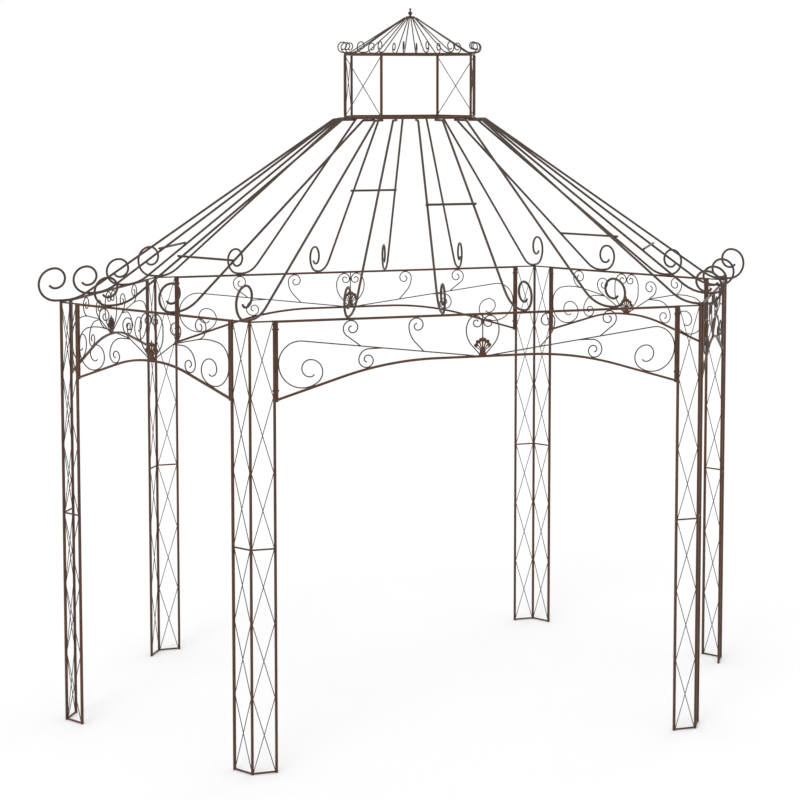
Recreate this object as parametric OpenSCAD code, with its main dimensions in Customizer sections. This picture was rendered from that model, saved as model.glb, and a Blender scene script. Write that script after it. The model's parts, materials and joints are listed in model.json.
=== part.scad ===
// Six-sided garden gazebo of welded steel tube, rod and wire.
// It is an open frame: six lattice posts, six arched panels with scrollwork, a roof of bare
// rafters that end in scrolls, and a six-sided lantern with its own small roof and a finial.
// The origin is on the ground under the middle, +Z is up and the long sides face -Y and +Y.

/* [Plan] */
// Distance between the two end corners, along X
span = 4000; // [3000:50:5000]
// Length of the front side and of the back side
long_side = 2485; // [2100:10:3100]
// Distance between the front side and the back side
depth = 2435; // [1900:10:3000]
// Height of the posts
eave_height = 2330; // [2000:10:2800]

/* [Posts] */
// Side of the square tube of the posts and the lantern
tube = 13; // [8:1:18]
// Width of one lattice face, from corner tube centre to side tube centre
face_width = 127; // [90:1:180]
// Height of the thin bars across the foot, the middle and the head of a face
tie_height = 8; // [4:1:12]
// Thickness of the lattice wire
lattice_wire = 4.5; // [2:0.5:6]
// Number of crosses in each half of a face
crosses = 3; // [2:1:5]

/* [Arch panels] */
// Height of a panel at its ends, from the springing of its arch to the eaves
panel_height = 402; // [330:1:490]
// Clear height between a long arch and the rail, in the middle
long_crown_clear = 209; // [174:1:255]
// Clear height between a short arch and the rail, in the middle
short_crown_clear = 245; // [204:1:300]
// Thickness of the rail along the eaves and of the arch bar
rail = 12; // [6:1:16]
// Length of a long arch's level middle, measured to where its slopes would meet it unbent
long_crown = 1022; // [850:2:1230]
// Length of a short arch's level middle, measured in the same way
short_crown = 290; // [240:2:350]
// Bend radius of a long arch between its level middle and its slopes
long_arch_r = 1780; // [1400:10:2200]
// Bend radius of a short arch
short_arch_r = 800; // [650:10:1000]

/* [Scrollwork] */
// Thickness of the scroll wire
wire = 6.5; // [3:0.5:8]
// How far a scroll is sunk into the bar that it is welded to
weld = 1; // [0.5:0.1:1.5]
// Radius of the big scroll at each end of a long panel
long_scroll_r = 128; // [105:1:155]
// Radius of the big scroll at each end of a short panel
short_scroll_r = 105; // [85:1:125]
// Radius of the small scrolls
small_scroll_r = 41; // [34:1:50]
// Space over the small scrolls beside a short panel's heart
inner_scroll_drop = 35; // [20:1:50]
// Width of the block at the root of a shell
shell_block = 36; // [30:1:44]
// Height of that block
shell_block_height = 42; // [35:1:50]
// Reach of a shell's middle lobes from the point where its ribs meet
shell_reach = 72; // [60:1:80]
// Thickness of the shell's rim
shell_depth = 6; // [5:1:9]

/* [Roof] */
// Thickness of the rafters and of their crossbars
rod = 13; // [5:0.5:15]
// Distance between the two middle rafters of a long side, on the eaves
long_pitch_eaves = 445; // [380:5:520]
// Distance of the outer rafters of a long side from its middle, on the eaves
long_outer_eaves = 725; // [620:5:760]
// Distance between neighbouring rafters of a long side, under the lantern
long_pitch_ring = 118; // [100:1:140]
// Distance between the two rafters of a short side, on the eaves
short_pitch_eaves = 485; // [380:5:520]
// How far the rafters of a short side stand towards its end corner, on the eaves
short_eaves_shift = 75; // [0:5:100]
// Distance between the two rafters of a short side, under the lantern
short_pitch_ring = 168; // [100:1:180]
// Bend radius of a rafter above the eaves
eave_bend_r = 220; // [120:5:300]
// Radius of the outer half of a rafter's scroll
rafter_scroll_r = 75; // [50:1:90]
// Radius of the outer half of a corner rafter's scroll
corner_scroll_r = 88; // [60:1:110]
// Length of the level end of a rafter outside the lantern
rafter_tab = 65; // [40:1:90]
// Height of the crossbars between the two middle rafters of the long sides
long_crossbar_height = 2857; // [2600:1:3000]
// Height of the crossbars between the rafters of the short sides
short_crossbar_height = 2575; // [2450:1:3000]
// How far a crossbar stands past its rafters
crossbar_spare = 6; // [2:1:12]

/* [Lantern] */
// Height of the underside of the lantern
lantern_base = 3315; // [3000:5:3600]
// Height of the lantern's posts
lantern_post = 341; // [250:1:450]
// Distance between the lantern's two end corners
lantern_span = 772; // [650:1:900]
// Length of the lantern's front side and back side
lantern_long_side = 524; // [450:1:600]
// Distance between the lantern's front side and back side
lantern_depth = 580; // [450:1:650]
// Thickness of the lantern's wire crosses
brace_wire = 4.5; // [2:0.5:6]
// Rise of the lantern's roof, from the top ring to the hub
lantern_rise = 196; // [140:1:260]
// Thickness of the lantern's roof rods
small_rod = 6.5; // [3:0.5:8]
// Radius of the hub under the finial
hub_r = 27; // [24:1:40]
// Thickness of the hub
hub_depth = 6; // [4:1:12]
// Height of the finial
finial_height = 46; // [36:1:70]

/* [Hidden] */
$fn = 48;

brown = [0.33, 0.24, 0.20];
wire_brown = [0.30, 0.26, 0.23];

// The six corners of a plan, from the front left one on, anticlockwise from above
function corners(s, l, d) =
  [[-l / 2, -d / 2], [l / 2, -d / 2], [s / 2, 0], [l / 2, d / 2], [-l / 2, d / 2], [-s / 2, 0]];
eave_corner = corners(span, long_side, depth);
ring_corner = corners(lantern_span, lantern_long_side, lantern_depth);
// The sides by number: 0 front, 1 front right, 2 back right, 3 back, 4 back left, 5 front left
sides = [0 : 5];
function next(i) = (i + 1) % 6;
function is_long(i) = i % 3 == 0;
function side_vector(c, i) = c[next(i)] - c[i];
function side_length(c, i) = norm(side_vector(c, i));
function side_angle(c, i) = atan2(side_vector(c, i)[1], side_vector(c, i)[0]);

// ---- bent bars: a path is a list of stretches, [length] straight or [radius, turn] bent ----
// A disc fills each joint and stands past the bar by half of this
joint_spare = 0.6;
joint_faces = 24;
bend_faces = 96;
bow_parts = 4;

function turned(v, a) = [v[0] * cos(a) - v[1] * sin(a), v[0] * sin(a) + v[1] * cos(a)];
function bend(s) = len(s) == 1 ? 0 : s[1];
function hop(s) =
  len(s) == 1 ? [s[0], 0] : [s[0] * sin(abs(s[1])), sign(s[1]) * s[0] * (1 - cos(s[1]))];
function heading(path, i) = i == 0 ? 0 : heading(path, i - 1) + bend(path[i - 1]);
function place(path, i) =
  i == 0 ? [0, 0] : place(path, i - 1) + turned(hop(path[i - 1]), heading(path, i - 1));

// Part of a ring, from angle 0 to the sweep, which is 180 degrees at most
module bow(r, sweep, w) {
  part = sweep / bow_parts;
  reach = (r + w) / cos(part / 2);
  intersection() {
    difference() {
      circle(r = r + w / 2, $fn = bend_faces);
      circle(r = r - w / 2, $fn = bend_faces);
    }
    polygon(concat([[0, 0]],
      [for (k = [0 : bow_parts]) reach * [cos(k * part), sin(k * part)]]));
  }
}

module stretch(s, w) {
  if (len(s) == 1)
    translate([0, -w / 2]) square([s[0], w]);
  else if (s[1] > 0)
    translate([0, s[0]]) rotate(-90) bow(s[0], s[1], w);
  else
    translate([0, -s[0]]) rotate(90 + s[1]) bow(s[0], -s[1], w);
}

// The outline of a bent bar of width w, from the origin along +X at first
module bent(path, w) {
  for (i = [0 : len(path) - 1]) {
    translate(place(path, i)) rotate(heading(path, i)) stretch(path[i], w);
    if (i > 0)
      translate(place(path, i)) circle(d = w + joint_spare, $fn = joint_faces);
  }
}

// A straight bar from point a to point b
module bar(a, b, w) {
  translate(a) rotate(atan2(b[1] - a[1], b[0] - a[0])) bent([[norm(b - a)]], w);
}

// Stands a flat outline up: its X runs on along the ground and its Y runs up
module upright(thickness) {
  rotate([90, 0, 0]) translate([0, 0, -thickness / 2]) linear_extrude(height = thickness) children();
}

// Puts a child on side i, with X along the side from corner i and -Y outward
module on_side(c, i) {
  translate([c[i][0], c[i][1], 0]) rotate(side_angle(c, i)) children();
}

// ---- posts ----
half_height = eave_height / 2;

module square_post(x, h) {
  translate([x - tube / 2, -tube / 2, 0]) cube([tube, tube, h]);
}

module lattice_cross(low, high) {
  left = tube / 2 - weld;
  right = face_width - tube / 2 + weld;
  bar([left, low], [right, high], lattice_wire);
  bar([left, high], [right, low], lattice_wire);
}

module ties() {
  for (z = [0, half_height - tie_height / 2, eave_height - tie_height])
    translate([tube / 2 - weld, -tie_height / 2, z])
      cube([face_width - tube + 2 * weld, tie_height, tie_height]);
}

module lattice() {
  cross_height = (half_height - tie_height * 1.5) / crosses;
  upright(lattice_wire)
    for (start = [tie_height, half_height + tie_height / 2], k = [0 : crosses - 1])
      lattice_cross(start + k * cross_height, start + (k + 1) * cross_height);
}

// The face at the start of side i carries the corner tube
module face_at_start(i) {
  color(brown) on_side(eave_corner, i) {
    square_post(0, eave_height);
    square_post(face_width, eave_height);
    ties();
    lattice();
  }
}

// The face at the end of side i is cut to seat on the tube that the next side's face carries
module face_at_end(i) {
  color(brown) {
    backward(i) square_post(face_width, eave_height);
    off_next_corner(i) backward(i) ties();
    off_next_corner(i) backward(i) lattice();
  }
}

module backward(i) {
  on_side(eave_corner, i) translate([side_length(eave_corner, i), 0, 0]) mirror([1, 0, 0]) children();
}

module off_next_corner(i) {
  difference() {
    children();
    on_side(eave_corner, next(i)) translate([0, 0, -tube]) square_post(0, eave_height + 2 * tube);
  }
}

// ---- arch panels, drawn about the middle of a side ----
spring_height = eave_height - panel_height;
rail_under = eave_height - rail;
function panel_half(i) = side_length(eave_corner, i) / 2 - face_width - tube / 2;
function inner_half(i) = panel_half(i) - tube;
function bar_top(i) = rail_under - (is_long(i) ? long_crown_clear : short_crown_clear);
function crown_height(i) = bar_top(i) - rail / 2;
function crown_half(i) = (is_long(i) ? long_crown : short_crown) / 2;
function slope_reach(i) = [inner_half(i) - crown_half(i), crown_height(i) - spring_height];
function arch_slope(i) = atan2(slope_reach(i)[1], slope_reach(i)[0]);
// The bend takes as much off the slope as off the level, and leaves the shell a level seat
function arch_r(i) =
  let (room = min(crown_half(i) - shell_block / 2, norm(slope_reach(i)) - rail))
  min(is_long(i) ? long_arch_r : short_arch_r, room / tan(arch_slope(i) / 2));
function bend_take(i) = arch_r(i) * tan(arch_slope(i) / 2);
function level_half(i) = crown_half(i) - bend_take(i);

module arch_bar(i) {
  a = arch_slope(i);
  seat = rail / 2 * tan(a);
  run = [norm(slope_reach(i)) - bend_take(i) + seat];
  turn = [arch_r(i), -a];
  translate([-inner_half(i) - seat * cos(a), spring_height - seat * sin(a)]) rotate(a)
    bent([run, turn, [2 * level_half(i)], turn, run], rail);
}

// Slope and height of an arch bar's middle line at distance x from the middle of the panel
function slope_at(i, x) =
  x < level_half(i) ? 0 : min(arch_slope(i), asin(min(1, (x - level_half(i)) / arch_r(i))));
function arch_at(i, x) =
  slope_at(i, x) < arch_slope(i)
    ? crown_height(i) - arch_r(i) * (1 - cos(slope_at(i, x)))
    : spring_height + (inner_half(i) - x) * tan(arch_slope(i));

// Height of the middle of a scroll of radius r at x, welded onto the arch or up under the rail
function over_arch(i, x, r) = arch_at(i, x) + (r + (wire + rail) / 2 - weld) / cos(slope_at(i, x));
function under_rail(r) = rail_under - r - wire / 2 + weld;

// A big scroll rests on the arch and against the end bar. Its stem comes over two shoulders:
// [radius, heading at which it ends, radius, length of the drop below them]
long_shoulder = [112, -45, 112, 0];
short_shoulder = [360, -13.5, 95, 30];
function shoulder(i) = is_long(i) ? long_shoulder : short_shoulder;
function big_r(i) = is_long(i) ? long_scroll_r : short_scroll_r;
// A curl is a list of [share of the scroll's radius, turn]
long_curl = [[1, 127], [0.51, 143], [0.345, 180], [0.195, 60]];
short_curl = [[1, 135], [0.62, 45], [0.59, 90], [0.475, 90], [0.36, 90], [0.19, 60]];
small_curl = [[1, 90], [0.86, 90], [0.68, 90], [0.48, 90], [0.37, 90]];
function curl(shares, r, way) = [for (s = shares) [s[0] * r, way * s[1]]];
function scroll_side(i) = inner_half(i) - wire / 2 + weld;
function scroll_top(i) = over_arch(i, scroll_side(i) - big_r(i), big_r(i)) + shoulder(i)[3];

// The middle of the first shoulder, which the stem's straight run is tangent to
function shoulder_middle(i) =
  let (s = shoulder(i))
  [scroll_side(i) - s[2], scroll_top(i)] + (s[2] - s[0]) * [-sin(s[1]), cos(s[1])];

// A main stem leaves the shell's block in a straight root, [length, heading], and bends down to
// its long straight run
long_root = [60, 8];
short_root = [165, 32];
root_bend_r = 120;
function root_run(i) = is_long(i) ? long_root[0] : short_root[0];
function root_heading(i) = is_long(i) ? long_root[1] : short_root[1];
function stem_root(i) = [shell_block / 2 - wire, bar_top(i) - (is_long(i) ? wire : 0)];
function root_end(i) = stem_root(i) + turned([root_run(i), 0], root_heading(i));
function root_middle(i) = root_end(i) + root_bend_r * [sin(root_heading(i)), -cos(root_heading(i))];
function stem_gap(i) = shoulder_middle(i) - root_middle(i);
function stem_run(i) = sqrt(pow(norm(stem_gap(i)), 2) - pow(shoulder(i)[0] - root_bend_r, 2));
function stem_heading(i) =
  atan2(stem_gap(i)[1], stem_gap(i)[0]) + atan2(shoulder(i)[0] - root_bend_r, stem_run(i));
function stem_start(i) = root_middle(i) + root_bend_r * [-sin(stem_heading(i)), cos(stem_heading(i))];
// Height of the stem at distance x from the middle
function line_at(from, heading, x) = from[1] + (x - from[0]) * tan(heading);
function stem_at(i, x) =
  min(line_at(stem_root(i), root_heading(i), x), line_at(stem_start(i), stem_heading(i), x));
// The distance from the middle at which the stem has that height
function along_line(from, heading, h) = from[0] + (h - from[1]) / tan(heading);
function stem_reaches(i, h) =
  max(along_line(stem_root(i), root_heading(i), h), along_line(stem_start(i), stem_heading(i), h));

module main_stem(i) {
  s = shoulder(i);
  drop = s[3] > 0 ? [[s[3]]] : [];
  stem = [[root_run(i)], [root_bend_r, stem_heading(i) - root_heading(i)], [stem_run(i)],
          [s[0], s[1] - stem_heading(i)], [s[2], -90 - s[1]]];
  translate(stem_root(i)) rotate(root_heading(i))
    bent(concat(stem, drop, curl(is_long(i) ? long_curl : short_curl, big_r(i), -1)), wire);
}

// A small scroll's branch is [place, lead, flare]: its place is a share of the half panel, and
// it leaves the stem a lead before that. It runs straight into its flare, a bend that is tangent
// to the far side of the scroll and is a share of the height between the scroll and its root.
long_first = [0.33, 40, 0.9];
long_second = [0.65, 52, 0.5];
long_lower = [0.575, 90, 0.98];
short_outer = [0.64, 32, 0.96];
short_inner = [0.315, 15, 0.82];
short_lower = [0.5, 120, 0.99];
high_scroll = under_rail(small_scroll_r);

// Draws a branch up to a scroll whose middle is at that height, or down to it if the way is -1.
// One that goes up leaves the stem earlier where that comes near to the height of its scroll.
module branch(i, sizes, height, way) {
  middle = [sizes[0] * inner_half(i), height];
  lead_x = middle[0] - sizes[1];
  root_x = way > 0 ? min(lead_x, stem_reaches(i, height - small_scroll_r / 2)) : lead_x;
  root = [root_x, stem_at(i, root_x)];
  flare = sizes[2] * abs(height - root[1]);
  gap = middle - [flare - small_scroll_r, 0] - root;
  run = sqrt(pow(norm(gap), 2) - flare * flare);
  angle = atan2(gap[1], gap[0]) - way * atan2(flare, run);
  translate(root) rotate(angle)
    bent(concat([[run], [flare, way * 90 - angle]], curl(small_curl, small_scroll_r, way)), wire);
}

module lower_branch(i, sizes) {
  branch(i, sizes, over_arch(i, sizes[0] * inner_half(i), small_scroll_r), -1);
}

module long_branches(i) {
  branch(i, long_first, high_scroll, 1);
  branch(i, long_second, high_scroll, 1);
  lower_branch(i, long_lower);
}

module short_branches(i) {
  branch(i, short_outer, high_scroll, 1);
  branch(i, short_inner, high_scroll - inner_scroll_drop, 1);
  lower_branch(i, short_lower);
}

// One half of the heart over the shell. It leaves the block, rises to the rail and curls in to
// the middle. It is drawn out straight at its widest, or made smaller, to fit under the rail.
heart_foot = 5;
heart_lean = 48;
heart_flank = [[64], [121, 42]];
heart_top = [[98, 35], [40, 55]];
heart_curl = [[34, 90], [24, 90], [21, 90], [15, 90], [10, 90]];
function grow(path, k) = [for (s = path) len(s) == 1 ? [s[0] * k] : [s[0] * k, s[1]]];
function reach(path) = turned(place(path, len(path)), heart_lean);
// Half the distance between the two curls, which touch the middle wire or each other
function curl_gap(i) = (is_long(i) ? wire : wire / 2) - weld / 4;

module heart_half(i) {
  rise = rail_under - wire / 2 + weld / 4 - bar_top(i) - heart_foot;
  plain = reach(concat(heart_flank, heart_top));
  k = min(1, rise / plain[1]);
  spare = rise - k * plain[1];
  root_x = curl_gap(i) + k * (heart_curl[0][0] - plain[0]);
  drawn = concat(grow(heart_flank, k), spare > wire ? [[spare]] : [], grow(heart_top, k));
  translate([root_x, bar_top(i) + heart_foot]) rotate(heart_lean)
    bent(concat(drawn, grow(heart_curl, k)), wire);
}

module scrollwork_half(i) {
  main_stem(i);
  if (is_long(i))
    long_branches(i);
  else
    short_branches(i);
  heart_half(i);
}

// The wires of a panel, cut to seat on the shell's block
module scrollwork(i) {
  difference() {
    union() {
      scrollwork_half(i);
      mirror([1, 0]) scrollwork_half(i);
      if (is_long(i))
        bar([0, bar_top(i) + shell_tip], [0, rail_under + weld], wire);
    }
    translate([-shell_block / 2, bar_top(i)]) square([shell_block, shell_block_height]);
  }
}

module arch(i) {
  color(brown) on_side(eave_corner, i) translate([side_length(eave_corner, i) / 2, 0, 0]) {
    upright(rail) {
      arch_bar(i);
      bar([-inner_half(i) - weld, eave_height - rail / 2],
          [inner_half(i) + weld, eave_height - rail / 2], rail);
    }
    for (side = [-1, 1])
      translate([side * (inner_half(i) + tube / 2), 0, spring_height - rail])
        square_post(0, panel_height + rail);
    upright(wire) scrollwork(i);
  }
}

// ---- shells: ribs that fan out from a block to a rim of lobes, with a point at the top ----
shell_slots = 6;
shell_step = 19.5;
shell_eye = 20;
shell_tip = 104;
shell_lobe_r = 10.5;
slot_root = 27;
slot_w = 4.5;
rib_w = [3, 6];
rib_depth = shell_depth + 3;
slot_angles = [for (k = [0 : shell_slots - 1]) shell_step * (k - (shell_slots - 1) / 2)];
rib_angles = [for (k = [0 : shell_slots]) shell_step * (k - shell_slots / 2)];
// The fan reaches less far to its sides: by the droop at that angle
shell_droop = 18;
shell_droop_at = 60;
function shell_edge(a) = shell_reach - shell_droop * pow(a / shell_droop_at, 2);
shell_block_depth = 3 * wire;
shell_block_round = wire;
shell_tip_foot = 3 * wire;

// A wedge from the eye of the fan up to height h
module wedge(w1, w2, low, high) {
  polygon([[-w1 / 2, low], [w1 / 2, low], [w2 / 2, high], [-w2 / 2, high]]);
}

module shell_rim() {
  difference() {
    for (a = slot_angles) rotate(a) {
      translate([0, shell_edge(a) - shell_lobe_r]) circle(r = shell_lobe_r);
      wedge(wire, 2 * shell_lobe_r, 0, shell_edge(a) - shell_lobe_r);
    }
    for (a = slot_angles) rotate(a) {
      translate([0, shell_edge(a) - shell_lobe_r]) circle(d = slot_w);
      wedge(slot_w / 2, slot_w, slot_root, shell_edge(a) - shell_lobe_r);
    }
  }
}

module shell_block_outline(depth, r) {
  square([shell_block - 2 * r, depth], center = true);
  square([shell_block, depth - 2 * r], center = true);
  for (x = [-1, 1], y = [-1, 1])
    translate([x * (shell_block / 2 - r), y * (depth / 2 - r)]) circle(r = r);
}

module shell(i) {
  dome = shell_block_height - shell_block / 2;
  color(brown) on_side(eave_corner, i) translate([side_length(eave_corner, i) / 2, 0, bar_top(i)]) {
    upright(shell_depth) {
      translate([0, shell_eye]) shell_rim();
      wedge(shell_tip_foot, wire, shell_eye + shell_reach - shell_lobe_r, shell_tip);
    }
    upright(rib_depth) translate([0, shell_eye])
      for (a = rib_angles) rotate(a) wedge(rib_w[0], rib_w[1], 0, shell_edge(a) - shell_lobe_r);
    intersection() {
      linear_extrude(height = shell_block_height)
        shell_block_outline(shell_block_depth, shell_block_round);
      upright(shell_block) translate([0, dome]) {
        circle(d = shell_block);
        translate([-shell_block / 2, -dome]) square([shell_block, dome]);
      }
    }
  }
}

// ---- roof ----
rafter_foot = eave_height + rod / 2;
rafter_head = lantern_base - rod / 2;
rafter_drop = rafter_head - rafter_foot;
top_bend_r = 16;
// How far a flat seat runs on past what it rests on, at each end
seat_spare = 6;
rail_seat = rail + 2 * seat_spare;
corner_seat = tube * sqrt(2) + 2 * seat_spare;

// The bend, the slope and the bend of a rafter that runs out and drops, all tangent
function slope_run(out, drop, rs) = sqrt(out * out + pow(drop - rs, 2) - rs * rs);
function slope_angle(out, drop, rs) = atan2(drop - rs, out) + atan2(rs, slope_run(out, drop, rs));

// A bar in its own upright plane: a level tab, the slope down, a flat seat whose middle is at
// the far point, and a scroll
module hung(from, to, height, tab, drop, seat, r_top, r_eave, scroll, w) {
  v = to - from;
  out = norm(v) - tab - seat / 2;
  a = slope_angle(out, drop, r_top + r_eave);
  path = [[tab], [r_top, -a], [slope_run(out, drop, r_top + r_eave)], [r_eave, a], [seat]];
  translate([from[0], from[1], height]) rotate(atan2(v[1], v[0]))
    upright(w) bent(concat(path, scroll), w);
}

// A rafter's scroll is a list of [share of its radius, turn]
rafter_curl = [[1, 180], [0.7, 180], [0.44, 60]];
corner_curl = [[1, 180], [0.62, 180], [0.4, 60]];
corner_straight = 16;

// Places of the rafters along a side, from its middle: [under the lantern, on the eaves]
function toward_end(i) = is_long(next(i)) ? -1 : 1;
long_middle = [for (k = [-1, 1]) [k * long_pitch_ring / 2, k * long_pitch_eaves / 2]];
long_outer = [for (k = [-1, 1]) [k * long_pitch_ring * 1.5, k * long_outer_eaves]];
function short_places(i) = [for (k = [-1, 1])
  [k * short_pitch_ring / 2, k * short_pitch_eaves / 2 + toward_end(i) * short_eaves_shift]];
function middle_places(i) = is_long(i) ? long_middle : short_places(i);
function rafter_places(i) = is_long(i) ? concat(long_middle, long_outer) : short_places(i);
function along(c, i, x) = (c[i] + c[next(i)]) / 2 + x * side_vector(c, i) / side_length(c, i);
function inward(from, to, x) = from - x * (to - from) / norm(to - from);
function ring_point(i, place) = along(ring_corner, i, place[0]);
function eave_point(i, place) = along(eave_corner, i, place[1]);

module rafter(ring, eave, seat, scroll) {
  hung(inward(ring, eave, tube), eave, rafter_head, rafter_tab + tube, rafter_drop, seat,
       top_bend_r, eave_bend_r, scroll, rod);
}

module rafters(i, places) {
  for (p = places)
    rafter(ring_point(i, p), eave_point(i, p), rail_seat, curl(rafter_curl, rafter_scroll_r, 1));
}

module side_rafters(i) {
  color(wire_brown) rafters(i, rafter_places(i));
}

module corner_rafters() {
  color(wire_brown) for (i = sides)
    rafter(ring_corner[i], eave_corner[i], corner_seat,
           concat([[corner_straight]], curl(corner_curl, corner_scroll_r, 1)));
}

// Slope of a rafter of side i, and how far out it has dropped to the crossbar's height
bends = top_bend_r + eave_bend_r;
function crossbar_height(i) = is_long(i) ? long_crossbar_height : short_crossbar_height;
function rafter_run(i, place) = eave_point(i, place) - ring_point(i, place);
function rafter_slope(i, place) =
  slope_angle(norm(rafter_run(i, place)) - rafter_tab - rail_seat / 2, rafter_drop, bends);
function crossbar_out(i, place) =
  let (a = rafter_slope(i, place), down = rafter_head - crossbar_height(i))
  rafter_tab + top_bend_r * sin(a) + (down - top_bend_r * (1 - cos(a))) / tan(a);
function crossbar_end(i, place) =
  inward(ring_point(i, place), eave_point(i, place), -crossbar_out(i, place));
// Slope of a rafter as seen along a line v, and the mean of the slopes of two rafters
function seen_slope(i, place, v) =
  let (run = rafter_run(i, place), across = cross(v, run) / norm(v) / norm(run))
  atan2(tan(rafter_slope(i, place)), abs(across));
function crossbar_tilt(i, places, v) =
  (seen_slope(i, places[0], v) + seen_slope(i, places[1], v)) / 2;

// A crossbar lies on the slope of two rafters, sunk by a weld and cut to seat on them
module crossbar(i) {
  places = middle_places(i);
  from = crossbar_end(i, places[0]);
  v = crossbar_end(i, places[1]) - from;
  difference() {
    translate([from[0], from[1], crossbar_height(i)]) rotate(atan2(v[1], v[0]))
      rotate([crossbar_tilt(i, places, v), 0, 0])
        translate([-crossbar_spare - rod / 2, -rod / 2, rod / 2 - weld])
          cube([norm(v) + 2 * crossbar_spare + rod, rod, rod]);
    rafters(i, places);
  }
}

module roof_crossbars() {
  color(wire_brown) for (i = sides) crossbar(i);
}

// ---- lantern ----
ring_top = lantern_base + tube;
lantern_eave = ring_top + lantern_post;
lantern_head = lantern_eave + tube;

// The corners of a plan moved out by x on every side
function grown(c, x) =
  [for (i = sides)
    let (a = side_angle(c, (i + 5) % 6), half = (side_angle(c, i) - a + 360) % 360 / 2)
    c[i] + x / cos(half) * [sin(a + half), -cos(a + half)]];

module ring(low) {
  translate([0, 0, low]) linear_extrude(height = tube) difference() {
    polygon(grown(ring_corner, tube / 2));
    polygon(grown(ring_corner, -tube / 2));
  }
}

module lantern_base_ring() {
  color(brown) ring(lantern_base);
}

module lantern_top_ring() {
  color(brown) ring(lantern_eave);
}

module lantern_upright(i, low, high) {
  on_side(ring_corner, i) translate([0, 0, low]) square_post(0, high - low);
}

module lantern_posts() {
  color(brown) for (i = sides) lantern_upright(i, ring_top, lantern_eave);
}

// A cross runs from corner to corner between the rings and is cut to seat on the posts
module lantern_cross(i) {
  l = side_length(ring_corner, i);
  difference() {
    on_side(ring_corner, i) upright(brace_wire) intersection() {
      union() {
        bar([0, ring_top], [l, lantern_eave], brace_wire);
        bar([0, lantern_eave], [l, ring_top], brace_wire);
      }
      translate([-tube, ring_top]) square([l + 2 * tube, lantern_post]);
    }
    for (k = [i, next(i)]) lantern_upright(k, lantern_base, lantern_head);
  }
}

module lantern_braces() {
  color(wire_brown) for (i = sides)
    if (!is_long(i))
      lantern_cross(i);
}

small_top_bend_r = 6;
small_eave_bend_r = 60;
// How far a small rafter's level end runs in under the hub
small_tab = 10;
small_seat = tube + 2 * seat_spare;
small_curl_r = 29;
hub_base = lantern_head + small_rod + lantern_rise;

module small_rafter(eave) {
  start = (hub_r - small_tab) * eave / norm(eave);
  hung(start, eave, hub_base - small_rod / 2, small_tab + small_rod, lantern_rise, small_seat,
       small_top_bend_r, small_eave_bend_r, curl(rafter_curl, small_curl_r, 1), small_rod);
}

module lantern_rafters() {
  color(wire_brown) {
    for (i = sides)
      small_rafter(ring_corner[i]);
    for (i = sides, k = is_long(i) ? [-1, 0, 1] : [0])
      small_rafter(along(ring_corner, i, k * lantern_long_side / 4));
  }
}

module lantern_hub() {
  color(brown) translate([0, 0, hub_base]) cylinder(r = hub_r, h = hub_depth);
}

// A turned finial: a foot, a bulb, a neck and a knob, in shares of its height
bulb_r = 0.26 * finial_height;
bulb_middle = 0.38 * finial_height;
knob_r = 0.14 * finial_height;
knob_middle = finial_height - knob_r;
neck_base = bulb_middle + bulb_r / 2;
module finial() {
  color(brown) translate([0, 0, hub_base + hub_depth]) {
    cylinder(r1 = bulb_r * 0.6, r2 = bulb_r * 0.4, h = bulb_middle - bulb_r / 2);
    translate([0, 0, bulb_middle]) sphere(r = bulb_r);
    translate([0, 0, neck_base])
      cylinder(r1 = bulb_r * 0.6, r2 = knob_r / 2, h = knob_middle - neck_base);
    translate([0, 0, knob_middle]) sphere(r = knob_r);
  }
}

face_at_start(0);  // front_left_post_front_face
face_at_end(0);  // front_right_post_front_face
face_at_start(1);  // front_right_post_side_face
face_at_end(1);  // right_post_front_face
face_at_start(2);  // right_post_back_face
face_at_end(2);  // back_right_post_side_face
face_at_start(3);  // back_right_post_back_face
face_at_end(3);  // back_left_post_back_face
face_at_start(4);  // back_left_post_side_face
face_at_end(4);  // left_post_back_face
face_at_start(5);  // left_post_front_face
face_at_end(5);  // front_left_post_side_face
arch(0);  // front_arch
arch(1);  // front_right_arch
arch(2);  // back_right_arch
arch(3);  // back_arch
arch(4);  // back_left_arch
arch(5);  // front_left_arch
shell(0);  // front_shell
shell(1);  // front_right_shell
shell(2);  // back_right_shell
shell(3);  // back_shell
shell(4);  // back_left_shell
shell(5);  // front_left_shell
side_rafters(0);  // front_rafters
side_rafters(1);  // front_right_rafters
side_rafters(2);  // back_right_rafters
side_rafters(3);  // back_rafters
side_rafters(4);  // back_left_rafters
side_rafters(5);  // front_left_rafters
corner_rafters();
roof_crossbars();
lantern_base_ring();
lantern_posts();
lantern_braces();
lantern_top_ring();
lantern_rafters();
lantern_hub();
finial();
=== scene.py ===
"""A six-sided garden gazebo of welded and painted steel.

Each operator in the sidebar bends round wire and rod, rolls tube and casts the fittings of one
part of the frame, in place of its CAD nodes. The last one lays the floor, hangs the lights and
stands the camera.
"""

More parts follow.
